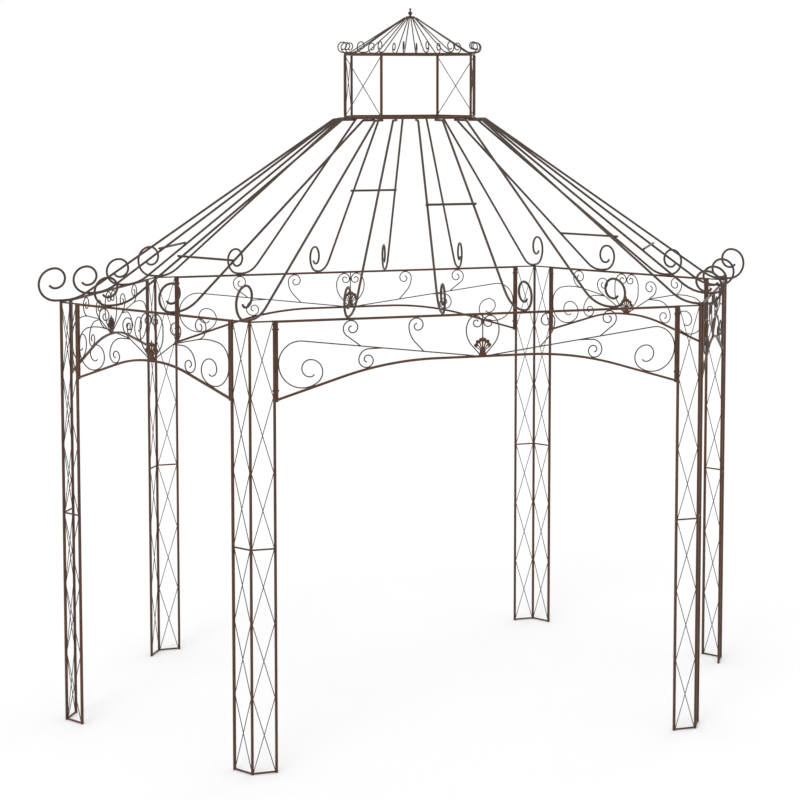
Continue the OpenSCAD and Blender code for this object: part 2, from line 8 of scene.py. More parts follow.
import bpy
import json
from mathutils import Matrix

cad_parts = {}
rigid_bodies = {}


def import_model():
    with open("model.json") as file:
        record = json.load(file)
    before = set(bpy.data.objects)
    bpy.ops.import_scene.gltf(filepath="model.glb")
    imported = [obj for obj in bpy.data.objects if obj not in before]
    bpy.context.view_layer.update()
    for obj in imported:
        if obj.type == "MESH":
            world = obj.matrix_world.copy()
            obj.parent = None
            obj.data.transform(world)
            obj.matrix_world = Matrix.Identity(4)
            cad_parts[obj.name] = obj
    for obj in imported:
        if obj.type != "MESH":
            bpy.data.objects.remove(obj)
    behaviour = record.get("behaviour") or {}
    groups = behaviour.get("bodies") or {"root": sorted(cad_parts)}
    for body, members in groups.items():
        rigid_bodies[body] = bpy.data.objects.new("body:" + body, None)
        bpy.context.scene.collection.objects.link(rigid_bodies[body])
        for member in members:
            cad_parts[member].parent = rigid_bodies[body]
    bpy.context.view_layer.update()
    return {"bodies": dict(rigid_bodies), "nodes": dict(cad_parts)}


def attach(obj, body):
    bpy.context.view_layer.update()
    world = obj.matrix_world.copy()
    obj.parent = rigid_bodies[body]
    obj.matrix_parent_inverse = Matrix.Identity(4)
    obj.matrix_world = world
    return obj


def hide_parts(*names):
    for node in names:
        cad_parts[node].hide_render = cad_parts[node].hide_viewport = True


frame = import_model()
BODY = next(iter(frame["bodies"]))

import json
import math
import random

import bmesh
import bpy
from mathutils import Matrix, Vector

bl_info = {
    "name": "Metal gazebo",
    "version": (1, 0, 0),
    "blender": (4, 5, 0),
    "location": "3D View > Sidebar > Gazebo",
    "description": "Builds and paints a six-sided garden gazebo of steel tube, rod and wire",
    "category": "Object",
}

SIDES = ("front", "front_right", "back_right", "back", "back_left", "front_left")
# The node of the post face at the start of each side, which carries the corner tube, and of
# the one at its end
START_FACES = ("front_left_post_front_face", "front_right_post_side_face", "right_post_back_face",
               "back_right_post_back_face", "back_left_post_side_face", "left_post_front_face")
END_FACES = ("front_right_post_front_face", "right_post_front_face", "back_right_post_side_face",
             "back_left_post_back_face", "left_post_back_face", "front_left_post_side_face")


# ---------------------------------------------------------------- settings
def size(name, description, default):
    """A length that a user may change."""
    return bpy.props.FloatProperty(name=name, description=description, default=default,
                                   min=0.0, unit="LENGTH", precision=4)


def paint(name, description, default):
    """A colour that a user may change."""
    return bpy.props.FloatVectorProperty(name=name, description=description, default=default,
                                         size=3, min=0.0, max=1.0, subtype="COLOR")


def share(name, description, default):
    """A share from 0 to 1 that a user may change."""
    return bpy.props.FloatProperty(name=name, description=description, default=default,
                                   min=0.0, max=1.0, subtype="FACTOR")


def strength(name, description, default):
    """The strength of a light."""
    return bpy.props.FloatProperty(name=name, description=description, default=default, min=0.0)


def turning(name, description, degrees):
    """An angle that a user may change."""
    return bpy.props.FloatProperty(name=name, description=description,
                                   default=math.radians(degrees), subtype="ANGLE")


class PlanSettings(bpy.types.PropertyGroup):
    """The plan and the height of the frame."""

    span: size("Span", "Distance between the two end corners", 4.0)
    long_side: size("Long side", "Length of the front and of the back", 2.485)
    depth: size("Depth", "Distance between the front and the back", 2.435)
    eaves: size("Eaves", "Height of the posts", 2.330)


class PostSettings(bpy.types.PropertyGroup):
    """The lattice posts."""

    tube: size("Tube", "Side of the square tube", 0.013)
    corner: size("Corner", "Radius of the tube's rolled corners", 0.0018)
    width: size("Face", "Width of a face, between the middles of its tubes", 0.127)
    tie: size("Tie", "Height of the thin bars across a face", 0.008)
    wire: size("Lattice wire", "Thickness of the lattice wire", 0.0045)
    crosses: bpy.props.IntProperty(
        name="Crosses", description="Crosses in each half of a face", default=3, min=1, max=6)
    plug: size("Plug", "Height of the plug's rim under a tube", 0.0025)


class ArchSettings(bpy.types.PropertyGroup):
    """The arch bars and the rail along the eaves."""

    height: size("Height", "Height of a panel at its ends", 0.402)
    long_clear: size("Long clear", "Clear height over a long arch's middle", 0.209)
    short_clear: size("Short clear", "Clear height over a short arch's middle", 0.245)
    rail: size("Rail", "Side of the square tube of the rail and the arch bar", 0.012)
    long_crown: size("Long crown", "Length of a long arch's level middle, unbent", 1.022)
    short_crown: size("Short crown", "Length of a short arch's level middle, unbent", 0.290)
    long_bend: size("Long bend", "Bend radius of a long arch", 1.780)
    short_bend: size("Short bend", "Bend radius of a short arch", 0.800)


class ScrollSettings(bpy.types.PropertyGroup):
    """The scrollwork over the arches."""

    wire: size("Scroll wire", "Thickness of the scroll wire", 0.0065)
    weld: size("Weld", "How far a scroll is sunk into what it is welded to", 0.001)
    long_r: size("Long scroll", "Radius of a long panel's big scrolls", 0.128)
    short_r: size("Short scroll", "Radius of a short panel's big scrolls", 0.105)
    small_r: size("Small scroll", "Radius of the small scrolls", 0.041)
    inner_drop: size("Inner drop", "Space over the scrolls beside a short heart", 0.035)


class ShellSettings(bpy.types.PropertyGroup):
    """The cast shells on the crowns of the arches."""

    block: size("Block", "Width of the block at a shell's root", 0.036)
    block_height: size("Block height", "Height of that block", 0.042)
    eye: size("Eye", "Height at which the ribs meet", 0.020)
    reach: size("Reach", "Reach of the middle lobes from there", 0.072)
    droop: size("Droop", "How much less the lobes reach at 60 degrees", 0.018)
    tip: size("Tip", "Height of the point at the top", 0.104)
    lobe: size("Lobe", "Radius of a lobe", 0.0105)
    pad: size("Pad", "Thickness of the pad on a lobe", 0.0072)
    depth: size("Depth", "Thickness of the rim", 0.006)
    rim: size("Rim", "Width of the rim round a slot", 0.005)
    step: turning("Step", "Angle between two lobes", 19.5)


class RoofSettings(bpy.types.PropertyGroup):
    """The rafters and their crossbars."""

    rod: size("Rod", "Thickness of the rafters and the crossbars", 0.013)
    long_pitch_eaves: size("Long pitch, eaves", "Between the middle rafters of a long side", 0.445)
    long_outer: size("Long outer, eaves", "From a long side's middle to its outer rafters", 0.725)
    long_pitch_ring: size("Long pitch, lantern", "Between rafters of a long side there", 0.118)
    short_pitch_eaves: size("Short pitch, eaves", "Between the rafters of a short side", 0.485)
    short_shift: size("Short shift", "How far they stand towards the end corner there", 0.075)
    short_pitch_ring: size("Short pitch, lantern", "Between rafters of a short side there", 0.168)
    eave_bend: size("Eave bend", "Bend radius of a rafter over the eaves", 0.220)
    top_bend: size("Top bend", "Bend radius of a rafter at its level end", 0.016)
    scroll: size("Scroll", "Radius of a rafter's scroll", 0.075)
    corner_scroll: size("Corner scroll", "Radius of a corner rafter's scroll", 0.088)
    corner_run: size("Corner run", "Straight end of a corner rafter before its scroll", 0.016)
    tab: size("Tab", "Length of a rafter's level end outside the lantern", 0.065)
    long_crossbar: size("Long crossbar", "Height of the crossbars of the long sides", 2.857)
    short_crossbar: size("Short crossbar", "Height of the crossbars of the short sides", 2.575)
    crossbar_spare: size("Crossbar spare", "How far a crossbar stands past its rafters", 0.006)
    seat_spare: size("Seat spare", "How far a flat seat runs on past its rail", 0.006)


class LanternSettings(bpy.types.PropertyGroup):
    """The lantern, its small roof and the finial."""

    base: size("Base", "Height of the underside", 3.315)
    post: size("Post", "Height of the posts", 0.341)
    span: size("Span", "Distance between the two end corners", 0.772)
    long_side: size("Long side", "Length of the front and of the back", 0.524)
    depth: size("Depth", "Distance between the front and the back", 0.580)
    wire: size("Cross wire", "Thickness of the wire crosses", 0.0045)
    rise: size("Rise", "Rise of the small roof", 0.196)
    rod: size("Small rod", "Thickness of the small rafters", 0.0065)
    tab: size("Small tab", "How far a small rafter runs in under the hub", 0.010)
    top_bend: size("Small top bend", "Bend radius of a small rafter at the hub", 0.006)
    eave_bend: size("Small eave bend", "Bend radius of a small rafter over the ring", 0.060)
    scroll: size("Small scroll", "Radius of a small rafter's scroll", 0.029)
    hub_r: size("Hub", "Radius of the hub", 0.027)
    hub_depth: size("Hub depth", "Thickness of the hub", 0.006)
    finial: size("Finial", "Height of the finial", 0.046)


class BoltSettings(bpy.types.PropertyGroup):
    """The bolts that hold the panels between the posts."""

    across: size("Across", "Width of the head across its flats", 0.00936)
    height: size("Height", "Height of the head", 0.00364)
    inset: size("Inset", "From a panel's springing, and from its top, to a bolt", 0.045)


class FinishSettings(bpy.types.PropertyGroup):
    """The powder coat."""

    tube_color: paint("Tube brown", "Coat on the tubes and the bars", (0.073, 0.027, 0.010))
    rod_color: paint("Rod brown", "Coat on the rods and the wires", (0.053, 0.032, 0.022))
    cast_color: paint("Casting brown", "Coat on the castings", (0.075, 0.028, 0.013))
    glow_color: paint("Antique glow", "Warmer brown that shows in the mottling",
                      (0.125, 0.056, 0.027))
    shade_color: paint("Antique shade", "Darker brown in the corners", (0.026, 0.016, 0.013))
    rub_color: paint("Rubbed edge", "Brown of an edge where the coat is thin",
                     (0.210, 0.135, 0.095))
    plug_color: paint("Plug black", "Plastic of the plugs", (0.020, 0.019, 0.018))
    bolt_color: paint("Bolt brown", "Coat on the bolts", (0.055, 0.042, 0.036))
    mottle: share("Mottling", "How strongly the brown drifts", 0.45)
    rub: share("Edge rub", "How much of the edges is rubbed", 0.35)
    roughness: share("Roughness", "Roughness of the coat", 0.46)


# Width of the camera's sensor in millimetres
SENSOR = 36.0


class StudioSettings(bpy.types.PropertyGroup):
    """The floor, the lights and the camera."""

    floor_color: paint("Floor", "Colour of the floor", (0.83, 0.83, 0.83))
    floor_size: size("Floor size", "Side of the square floor", 400.0)
    sky: strength("Sky", "Strength of the even light all round", 1.0)
    key: strength("Key light", "Strength of the key light", 0.86)
    rim: strength("Rim light", "Strength of the light from behind", 0.25)
    camera_place: bpy.props.FloatVectorProperty(
        name="Camera place", description="Where the camera stands", subtype="TRANSLATION",
        unit="LENGTH", size=3, default=(-3.702, -11.384, 3.566))
    camera_turn: turning("Camera turn", "How far it looks to the right of straight ahead", 18.03)
    camera_pitch: turning("Camera pitch", "How far it looks up", -4.97)
    lens: bpy.props.FloatProperty(
        name="Lens", description="Focal length on a sensor 36 mm wide, in millimetres",
        default=94.33, min=20.0, max=200.0)
    shift: bpy.props.FloatVectorProperty(
        name="Shift", description="Sideways and upward shift of the lens, in frame widths",
        size=2, default=(-0.0135, -0.18))


SETTINGS = {
    "gazebo_plan": PlanSettings, "gazebo_posts": PostSettings, "gazebo_arches": ArchSettings,
    "gazebo_scrolls": ScrollSettings, "gazebo_shells": ShellSettings,
    "gazebo_roof": RoofSettings, "gazebo_lantern": LanternSettings,
    "gazebo_bolts": BoltSettings, "gazebo_finish": FinishSettings,
    "gazebo_studio": StudioSettings,
}


# ---------------------------------------------------------------- drawing with bars and wires
def rise(degrees):
    """Direction at that angle over the horizontal, in a panel's own upright plane."""
    a = math.radians(degrees)
    return Vector((math.cos(a), 0.0, math.sin(a)))


def flat(x, z):
    """A point of a panel's own upright plane."""
    return Vector((x, 0.0, z))


def hop(part, heading):
    """How far one straight (length,) or bend (radius, turn) goes from that heading."""
    if len(part) == 1:
        return part[0] * rise(heading)
    way = math.copysign(1, part[1])
    return way * part[0] * (rise(heading + 90) - rise(heading + part[1] + 90))


def end_of(path, start, heading):
    """Where a path ends, and its heading there."""
    at = start
    for part in path:
        at = at + hop(part, heading)
        heading += part[1] if len(part) == 2 else 0.0
    return at, heading


def sin(degrees):
    return math.sin(math.radians(degrees))


def cos(degrees):
    return math.cos(math.radians(degrees))


def tan(degrees):
    return math.tan(math.radians(degrees))


def slope(v):
    """The angle of a line of the panel's plane over the horizontal."""
    return math.degrees(math.atan2(v.z, v.x))


def tilted(degrees):
    """Turns what lies along X up by that angle, in the panel's plane."""
    return Matrix.Rotation(-math.radians(degrees), 4, "Y")


def new_part():
    """An empty mesh with the layer that says how much a vertex stands out to be rubbed."""
    bm = bmesh.new()
    bm.verts.layers.float.new("rub")
    return bm


def put(bm, part, place, material=0):
    """Moves a finished part into place, adds it to a larger one and frees it."""
    bmesh.ops.transform(part, matrix=place, verts=part.verts)
    for f in part.faces:
        f.material_index = material
    mesh = bpy.data.meshes.new("part")
    part.to_mesh(mesh)
    bm.from_mesh(mesh)
    bpy.data.meshes.remove(mesh)
    part.free()


# Turns a shape that lies on the XY plane to stand across X
ACROSS = Matrix.Rotation(math.radians(90), 4, "Y")
# How much of a round bar's surface is rubbed, where a square tube's edges are 1 and its sides 0
ROUND_RUB = 0.25


def round_bar(thickness, sides=10):
    """A section for a round wire or rod."""

    def section(bm, place):
        made = bmesh.ops.create_circle(bm, cap_ends=True, radius=thickness / 2, segments=sides,
                                       matrix=place @ ACROSS)
        for v in made["verts"]:
            v[bm.verts.layers.float["rub"]] = ROUND_RUB
        return made["verts"][0].link_faces[0]

    return section


def square_bar(width, corner):
    """A section for a square tube or bar with rolled corners."""
    side = width / 2 - corner / 20

    def section(bm, place):
        made = bmesh.ops.create_circle(bm, cap_ends=True, radius=width * math.sqrt(0.5), segments=4,
                                       matrix=ACROSS @ Matrix.Rotation(math.radians(45), 4, "Z"))
        rounded = bmesh.ops.bevel(bm, geom=made["verts"], offset=corner, affect="VERTICES",
                                  segments=3, profile=0.5, material=-1)
        face = rounded["verts"][0].link_faces[0]
        for v in face.verts:
            on_corner = abs(v.co.y) < side and abs(v.co.z) < side
            v[bm.verts.layers.float["rub"]] = 1.0 if on_corner else 0.0
        bmesh.ops.transform(bm, matrix=place, verts=face.verts)
        return face

    return section


def oval_bar(width, depth, sides=12):
    """A section for a cast bead, which may be deeper than it is wide."""

    def section(bm, place):
        made = bmesh.ops.create_circle(bm, cap_ends=True, radius=0.5, segments=sides, matrix=ACROSS)
        bmesh.ops.scale(bm, vec=(1, depth, width), verts=made["verts"])
        bmesh.ops.transform(bm, matrix=place, verts=made["verts"])
        return made["verts"][0].link_faces[0]

    return section


def push_on(bm, face):
    """Extrudes the end face of a bar, which leaves no face inside it. Gives the new end."""
    grown = bmesh.ops.extrude_face_region(bm, geom=[face, *face.edges])["geom"]
    return next(g for g in grown if isinstance(g, bmesh.types.BMFace))


def bend_bar(bm, section, path, start=Vector(), heading=0.0, lift=0.0, per_step=7.5):
    """Pushes a section along a path of straights (length,) and bends (radius, turn), in the
    upright plane that lies lift behind the panel's own. A bend takes a step every few degrees."""
    at = start + Vector((0, lift, 0))
    face = section(bm, Matrix.Translation(at) @ tilted(heading))
    for part in path:
        if len(part) == 1:
            face = push_on(bm, face)
            bmesh.ops.translate(bm, vec=hop(part, heading), verts=face.verts)
        else:
            radius, turn = part
            way = math.copysign(1, turn)
            has_neighbours = len(face.edges[0].link_faces) > 1
            spun = bmesh.ops.spin(bm, geom=[face], cent=at + way * radius * rise(heading + 90),
                                  axis=(0, -way, 0), dvec=(0, 0, 0), angle=math.radians(abs(turn)),
                                  steps=max(2, round(abs(turn) / per_step)), use_duplicate=False)
            if has_neighbours:
                bm.faces.remove(face)
            face = next(g for g in spun["geom_last"] if isinstance(g, bmesh.types.BMFace))
        at, heading = end_of([part], at, heading)


def straight(bm, section, a, b, lift=0.0):
    """A straight bar from a to b in the panel's plane."""
    bend_bar(bm, section, [((b - a).length,)], a, slope(b - a), lift)


# ---------------------------------------------------------------- plan
def corners(outline):
    """The six corners of the posts' plan or of the lantern's, from the front left one on,
    anticlockwise from above."""
    x, y, end = outline.long_side / 2, outline.depth / 2, outline.span / 2
    return [Vector((a, b, 0)) for a, b in ((-x, -y), (x, -y), (end, 0), (x, y), (-x, y), (-end, 0))]


def is_long(i):
    """True for the front and the back."""
    return i % 3 == 0


def along(c, i, x):
    """The point x from the middle of side i."""
    a, b = c[i], c[(i + 1) % 6]
    return (a + b) / 2 + x * (b - a).normalized()


def side_length(c, i):
    """The length of side i."""
    return (c[(i + 1) % 6] - c[i]).length


def facing(at, v, height=0.0):
    """Places a part at a point of the plan and at that height, with X along v."""
    return (Matrix.Translation((at.x, at.y, height)) @
            Matrix.Rotation(math.atan2(v.y, v.x), 4, "Z"))


def on_side(c, i, x=0.0):
    """Places a part on side i, with X along the side from x past corner i and -Y outward."""
    return facing(c[i], c[(i + 1) % 6] - c[i]) @ Matrix.Translation((x, 0, 0))


MIRROR = Matrix.Scale(-1, 4, (1, 0, 0))


def from_end(c, i):
    """Places a part on side i as on_side does, but mirrored, with X from its far corner back."""
    return on_side(c, i, side_length(c, i)) @ MIRROR


# ---------------------------------------------------------------- pieces
# Faces that meet at more degrees than this have a sharp edge
SHARP_FROM = 38


def finish_piece(name, bm, coats, nodes):
    """Makes a piece of a finished mesh, puts it on the frame's body and in its nodes' place."""
    bmesh.ops.recalc_face_normals(bm, faces=bm.faces)
    mesh = bpy.data.meshes.new(name)
    bm.to_mesh(mesh)
    bm.free()
    for kind in coats:
        mesh.materials.append(coat(kind))
    mesh.shade_smooth()
    mesh.set_sharp_from_angle(angle=math.radians(SHARP_FROM))
    obj = bpy.data.objects.new(name, mesh)
    bpy.context.scene.collection.objects.link(obj)
    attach(obj, BODY)
    if nodes:
        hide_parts(*nodes)


def loft(bm, rings, sides, place=Matrix.Identity(4)):
    """Grows a rounded solid upwards through rings of (height, width, depth)."""
    made = bmesh.ops.create_circle(bm, cap_ends=True, radius=0.5, segments=sides)
    face, verts = made["verts"][0].link_faces[0], list(made["verts"])
    height, width, depth = rings[0]
    bmesh.ops.scale(bm, vec=(width, depth, 1), verts=verts)
    bmesh.ops.translate(bm, vec=(0, 0, height), verts=verts)
    for z, w, d in rings[1:]:
        face = push_on(bm, face)
        verts += face.verts
        bmesh.ops.translate(bm, vec=(0, 0, z - height), verts=face.verts)
        bmesh.ops.scale(bm, vec=(w / width, d / depth, 1), verts=face.verts)
        height, width, depth = z, w, d
    bmesh.ops.transform(bm, matrix=place, verts=verts)


def ovals(shares, height, width, depth):
    """The rings of a casting, of shares of its height, its width and its depth."""
    return [(z * height, w * width, d * depth) for z, w, d in shares]


def rounds(profile, height, width, low=0.0):
    """The rings of a turned piece, of (share of its height, share of its width)."""
    return [(low + z * height, w * width, w * width) for z, w in profile]


# Draws the unevenness of the welds
CHANCE = random.Random(7)
UNEVEN = 0.10
# A run of weld is longer and wider than it is high
BEAD_SHAPE = Matrix.Diagonal((1.7, 1.15, 0.8, 1))


def weld_bead(bm, at, angle, radius, lift=0.0):
    """A small run of weld at a point of the panel's plane, drawn out at that angle."""
    place = Matrix.Translation(at + Vector((0, lift, 0))) @ tilted(angle) @ BEAD_SHAPE
    made = bmesh.ops.create_uvsphere(bm, u_segments=10, v_segments=5, radius=radius, matrix=place)
    for v in made["verts"]:
        push = CHANCE.uniform(1 - UNEVEN, 1 + UNEVEN)
        v.co = place.translation + (v.co - place.translation) * push


def weld_up(node, steel, rods, beads, place):
    """Makes one piece of a node's tubes, rods and welds."""
    bm = new_part()
    for part, material in ((steel, 0), (rods, 1), (beads, 1)):
        put(bm, part, place, material)
    finish_piece(node + "_steel", bm, ["tube", "rod"], [node])


# ---------------------------------------------------------------- posts
# Corner radii of a tie and of the rail, as shares of their sides
TIE_CORNER, RAIL_CORNER = 1 / 6, 0.14
# Radii of the welds at a tie, at a wire's end and where two wires cross
TIE_BEAD, END_BEAD, CROSS_BEAD = 0.0016, 0.0021, 0.0018
# How far the weld at a tie's end stands off the tube, and share of its rise at which a wire's sits
TIE_BEAD_OFF, END_BEAD_AT = 0.0006, 0.008


def welded_wire(rods, beads, wire, a, b, weld, lift):
    """A lattice wire from a to b with its two welds, which sit where it comes out of the tubes."""
    straight(rods, wire, a, b, lift)
    sunk = flat(weld, (b.z - a.z) * END_BEAD_AT)
    for end in (a + sunk, b - sunk):
        weld_bead(beads, end, slope(b - a), END_BEAD, lift)


def post_face(scene, i, at_start):
    """One lattice face of a post at the start or the end of side i."""
    plan, post, weld = scene.gazebo_plan, scene.gazebo_posts, scene.gazebo_scrolls.weld
    c = corners(plan)
    place = on_side(c, i) if at_start else from_end(c, i)
    tube, tie = square_bar(post.tube, post.corner), square_bar(post.tie, post.tie * TIE_CORNER)
    wire = round_bar(post.wire, 8)
    inner, outer = post.tube / 2 - weld, post.width - post.tube / 2 + weld
    half = plan.eaves / 2
    steel, rods, beads = new_part(), new_part(), new_part()
    for x in ([0.0] if at_start else []) + [post.width]:
        straight(steel, tube, flat(x, post.plug), flat(x, plan.eaves))
    for z in (post.tie / 2 + post.plug, half, plan.eaves - post.tie / 2):
        straight(steel, tie, flat(inner, z), flat(outer, z))
        for x in (inner + weld + TIE_BEAD_OFF, outer - weld - TIE_BEAD_OFF):
            weld_bead(beads, flat(x, z + post.tie / 2), 90, TIE_BEAD)
    step = (half - post.tie * 1.5) / post.crosses
    for start in (post.tie, half + post.tie / 2):
        for k in range(post.crosses):
            low, high = start + k * step, start + (k + 1) * step
            for a, b, lift in ((low, high, post.wire / 2), (high, low, -post.wire / 2)):
                welded_wire(rods, beads, wire, flat(inner, a), flat(outer, b), weld, lift)
            weld_bead(beads, flat(post.width / 2, (low + high) / 2), 90, CROSS_BEAD)
    weld_up((START_FACES if at_start else END_FACES)[i], steel, rods, beads, place)


def plugs(scene):
    """A plastic plug with a rounded rim under every tube of the posts."""
    post, c = scene.gazebo_posts, corners(scene.gazebo_plan)
    bm = new_part()
    for i in range(6):
        for place, xs in ((on_side(c, i), (0.0, post.width)), (from_end(c, i), (post.width,))):
            for x in xs:
                part = new_part()
                straight(part, square_bar(post.tube, post.corner), flat(x, 0), flat(x, post.plug))
                rim = [e for e in part.edges if max(v.co.z for v in e.verts) < post.plug / 2]
                bmesh.ops.bevel(part, geom=rim, offset=post.plug / 3, affect="EDGES", segments=2,
                                profile=0.5, material=-1)
                put(bm, part, place)
    finish_piece("foot_plugs", bm, ["plug"], [])


# ---------------------------------------------------------------- arches
# The scrollwork of the long panels (True) and of the short ones (False). A big scroll's stem comes
# over two shoulders: (radius, heading at which it ends, radius, length of the drop below them)
SHOULDERS = {True: (0.112, -45.0, 0.112, 0.0), False: (0.360, -13.5, 0.095, 0.030)}
# Its root is a straight stretch out of the shell's block: (length, heading), and then a bend
ROOTS = {True: (0.060, 8.0), False: (0.165, 32.0)}
ROOT_BEND = 0.120
# A curl is a row of (share of the scroll's radius, turn)
BIG_CURLS = {True: ((1, 127), (0.51, 143), (0.345, 180), (0.195, 60)),
             False: ((1, 135), (0.62, 45), (0.59, 90), (0.475, 90), (0.36, 90), (0.19, 60))}
SMALL_CURL = ((1, 90), (0.86, 90), (0.68, 90), (0.48, 90), (0.37, 90))
# Branches: (place as a share of the half panel, how far before it the branch leaves the stem,
# share of the height that its flare takes, way up or down, whether it hangs free of the rail)
BRANCHES = {True: ((0.33, 0.040, 0.90, 1, False), (0.65, 0.052, 0.50, 1, False),
                   (0.575, 0.090, 0.98, -1, False)),
            False: ((0.64, 0.032, 0.96, 1, False), (0.315, 0.015, 0.82, 1, True),
                    (0.5, 0.120, 0.99, -1, False))}
# Half a heart: the height of its foot, its first heading, and its path of straights and bends
HEART_FOOT = 0.005
HEART_LEAN = 48.0
HEART_FLANK = ((0.064,), (0.121, 42))
HEART_TOP = ((0.098, 35), (0.040, 55))
HEART_CURL = ((0.034, 90), (0.024, 90), (0.021, 90), (0.015, 90), (0.010, 90))
# Radii of the welds, as shares of what is welded, and how far up a branch its weld sits
SCROLL_BEAD, BRANCH_BEAD, CENTRE_BEAD, RAIL_BEAD = 0.42, 0.483, 0.45, 0.33
BRANCH_BEAD_AT = 0.004
# How deep the middle rod of a long panel stands in the shell's point
ROD_IN_TIP = 0.004


def curl(shares, r, way):
    """The bends of a scroll of radius r, which turns up or down."""
    return [(k * r, way * turn) for k, turn in shares]


def grow(path, k):
    """A path k times as large."""
    return [(part[0] * k, *part[1:]) for part in path]


class Panel:
    """The lines of one arch panel, about the middle of its side."""

    def __init__(self, scene, i):
        plan, post, arch = scene.gazebo_plan, scene.gazebo_posts, scene.gazebo_arches
        scroll, shell = scene.gazebo_scrolls, scene.gazebo_shells
        length = side_length(corners(plan), i)
        self.long = is_long(i)
        self.tube, self.rail, self.wire, self.weld = post.tube, arch.rail, scroll.wire, scroll.weld
        self.eaves, self.small = plan.eaves, scroll.small_r
        self.inner_drop, self.block = scroll.inner_drop, shell.block
        self.inner = length / 2 - post.width - post.tube * 1.5
        self.spring = plan.eaves - arch.height
        self.rail_under = plan.eaves - arch.rail
        self.bar_top = self.rail_under - (arch.long_clear if self.long else arch.short_clear)
        self.crown = self.bar_top - arch.rail / 2
        self.crown_half = (arch.long_crown if self.long else arch.short_crown) / 2
        reach = flat(self.inner - self.crown_half, self.crown - self.spring)
        self.reach, self.slope = reach.length, slope(reach)
        room = min(self.crown_half - self.block / 2, self.reach - arch.rail)
        self.bend = min(arch.long_bend if self.long else arch.short_bend,
                        room / tan(self.slope / 2))
        self.take = self.bend * tan(self.slope / 2)
        self.level = self.crown_half - self.take
        self.big = scroll.long_r if self.long else scroll.short_r
        self.place = on_side(corners(plan), i, length / 2)

    def slope_at(self, x):
        """Slope of the arch bar's right half at x."""
        if x < self.level:
            return 0.0
        return min(self.slope, math.degrees(math.asin(min(1, (x - self.level) / self.bend))))

    def arch_at(self, x):
        """Height of the arch bar's middle line at x."""
        a = self.slope_at(x)
        if a < self.slope:
            return self.crown - self.bend * (1 - cos(a))
        return self.spring + (self.inner - x) * tan(self.slope)

    def over_arch(self, x, r):
        """Height of the middle of a scroll of radius r that is welded onto the arch bar at x."""
        reach = r + (self.wire + self.rail) / 2 - self.weld
        return self.arch_at(x) + reach / cos(self.slope_at(x))

    def under_rail(self, r):
        """Height of the middle of a scroll of radius r that is welded up under the rail."""
        return self.rail_under - r - self.wire / 2 + self.weld

    def arch_bar(self, bm, section):
        """The arch bar, from end bar to end bar."""
        seat = self.rail / 2 * tan(self.slope)
        run = (self.reach - self.take + seat,)
        turn = (self.bend, -self.slope)
        start = flat(-self.inner, self.spring) - seat * rise(self.slope)
        bend_bar(bm, section, [run, turn, (2 * self.level,), turn, run], start, self.slope,
                 per_step=1.0)

    def main_stem(self):
        """Start, heading and path of a big scroll with its stem, and what gives the height of the
        stem at x."""
        r1, ends, r2, drop = SHOULDERS[self.long]
        root_run, root_heading = ROOTS[self.long]
        side = self.inner - self.wire / 2 + self.weld
        top = self.over_arch(side - self.big, self.big) + drop
        shoulder = flat(side - r2, top) + (r2 - r1) * rise(ends + 90)
        root = flat(self.block / 2 - self.wire, self.bar_top - (self.wire if self.long else 0.0))
        middle = root + root_run * rise(root_heading) - ROOT_BEND * rise(root_heading + 90)
        gap = shoulder - middle
        run = math.sqrt(gap.length ** 2 - (r1 - ROOT_BEND) ** 2)
        heading = slope(gap) + math.degrees(math.atan2(r1 - ROOT_BEND, run))
        path = [(root_run,), (ROOT_BEND, heading - root_heading), (run,),
                (r1, ends - heading), (r2, -90 - ends)]
        path += [(drop,)] if drop > 0 else []
        path += curl(BIG_CURLS[self.long], self.big, -1)
        far = middle + ROOT_BEND * rise(heading + 90)

        def height(x):
            on_root = root.z + (x - root.x) * tan(root_heading)
            return min(on_root, far.z + (x - far.x) * tan(heading))

        return root, root_heading, path, height

    def branch(self, stem_height, place, lead, flare_share, way, hangs):
        """Start, heading and path of a small scroll on its branch."""
        x = place * self.inner
        if way < 0:
            z = self.over_arch(x, self.small)
        else:
            z = self.under_rail(self.small) - (self.inner_drop if hangs else 0.0)
        root = flat(x - lead, stem_height(x - lead))
        flare = flare_share * abs(z - root.z)
        gap = flat(x - flare + self.small, z) - root
        run = math.sqrt(gap.length ** 2 - flare ** 2)
        angle = slope(gap) - way * math.degrees(math.atan2(flare, run))
        return root, angle, [(run,), (flare, way * 90 - angle)] + curl(SMALL_CURL, self.small, way)

    def heart(self):
        """Start, heading and path of one half of the heart."""
        gap = (self.wire if self.long else self.wire / 2) - self.weld / 4
        foot = self.bar_top + HEART_FOOT
        up = self.rail_under - self.wire / 2 + self.weld / 4 - foot
        plain = end_of(HEART_FLANK + HEART_TOP, Vector(), HEART_LEAN)[0]
        k = min(1, up / plain.z)
        spare = up - k * plain.z
        path = grow(HEART_FLANK, k) + ([(spare,)] if spare > self.wire else [])
        path += grow(HEART_TOP, k) + grow(HEART_CURL, k)
        return flat(gap + k * (HEART_CURL[0][0] - plain.x), foot), HEART_LEAN, path

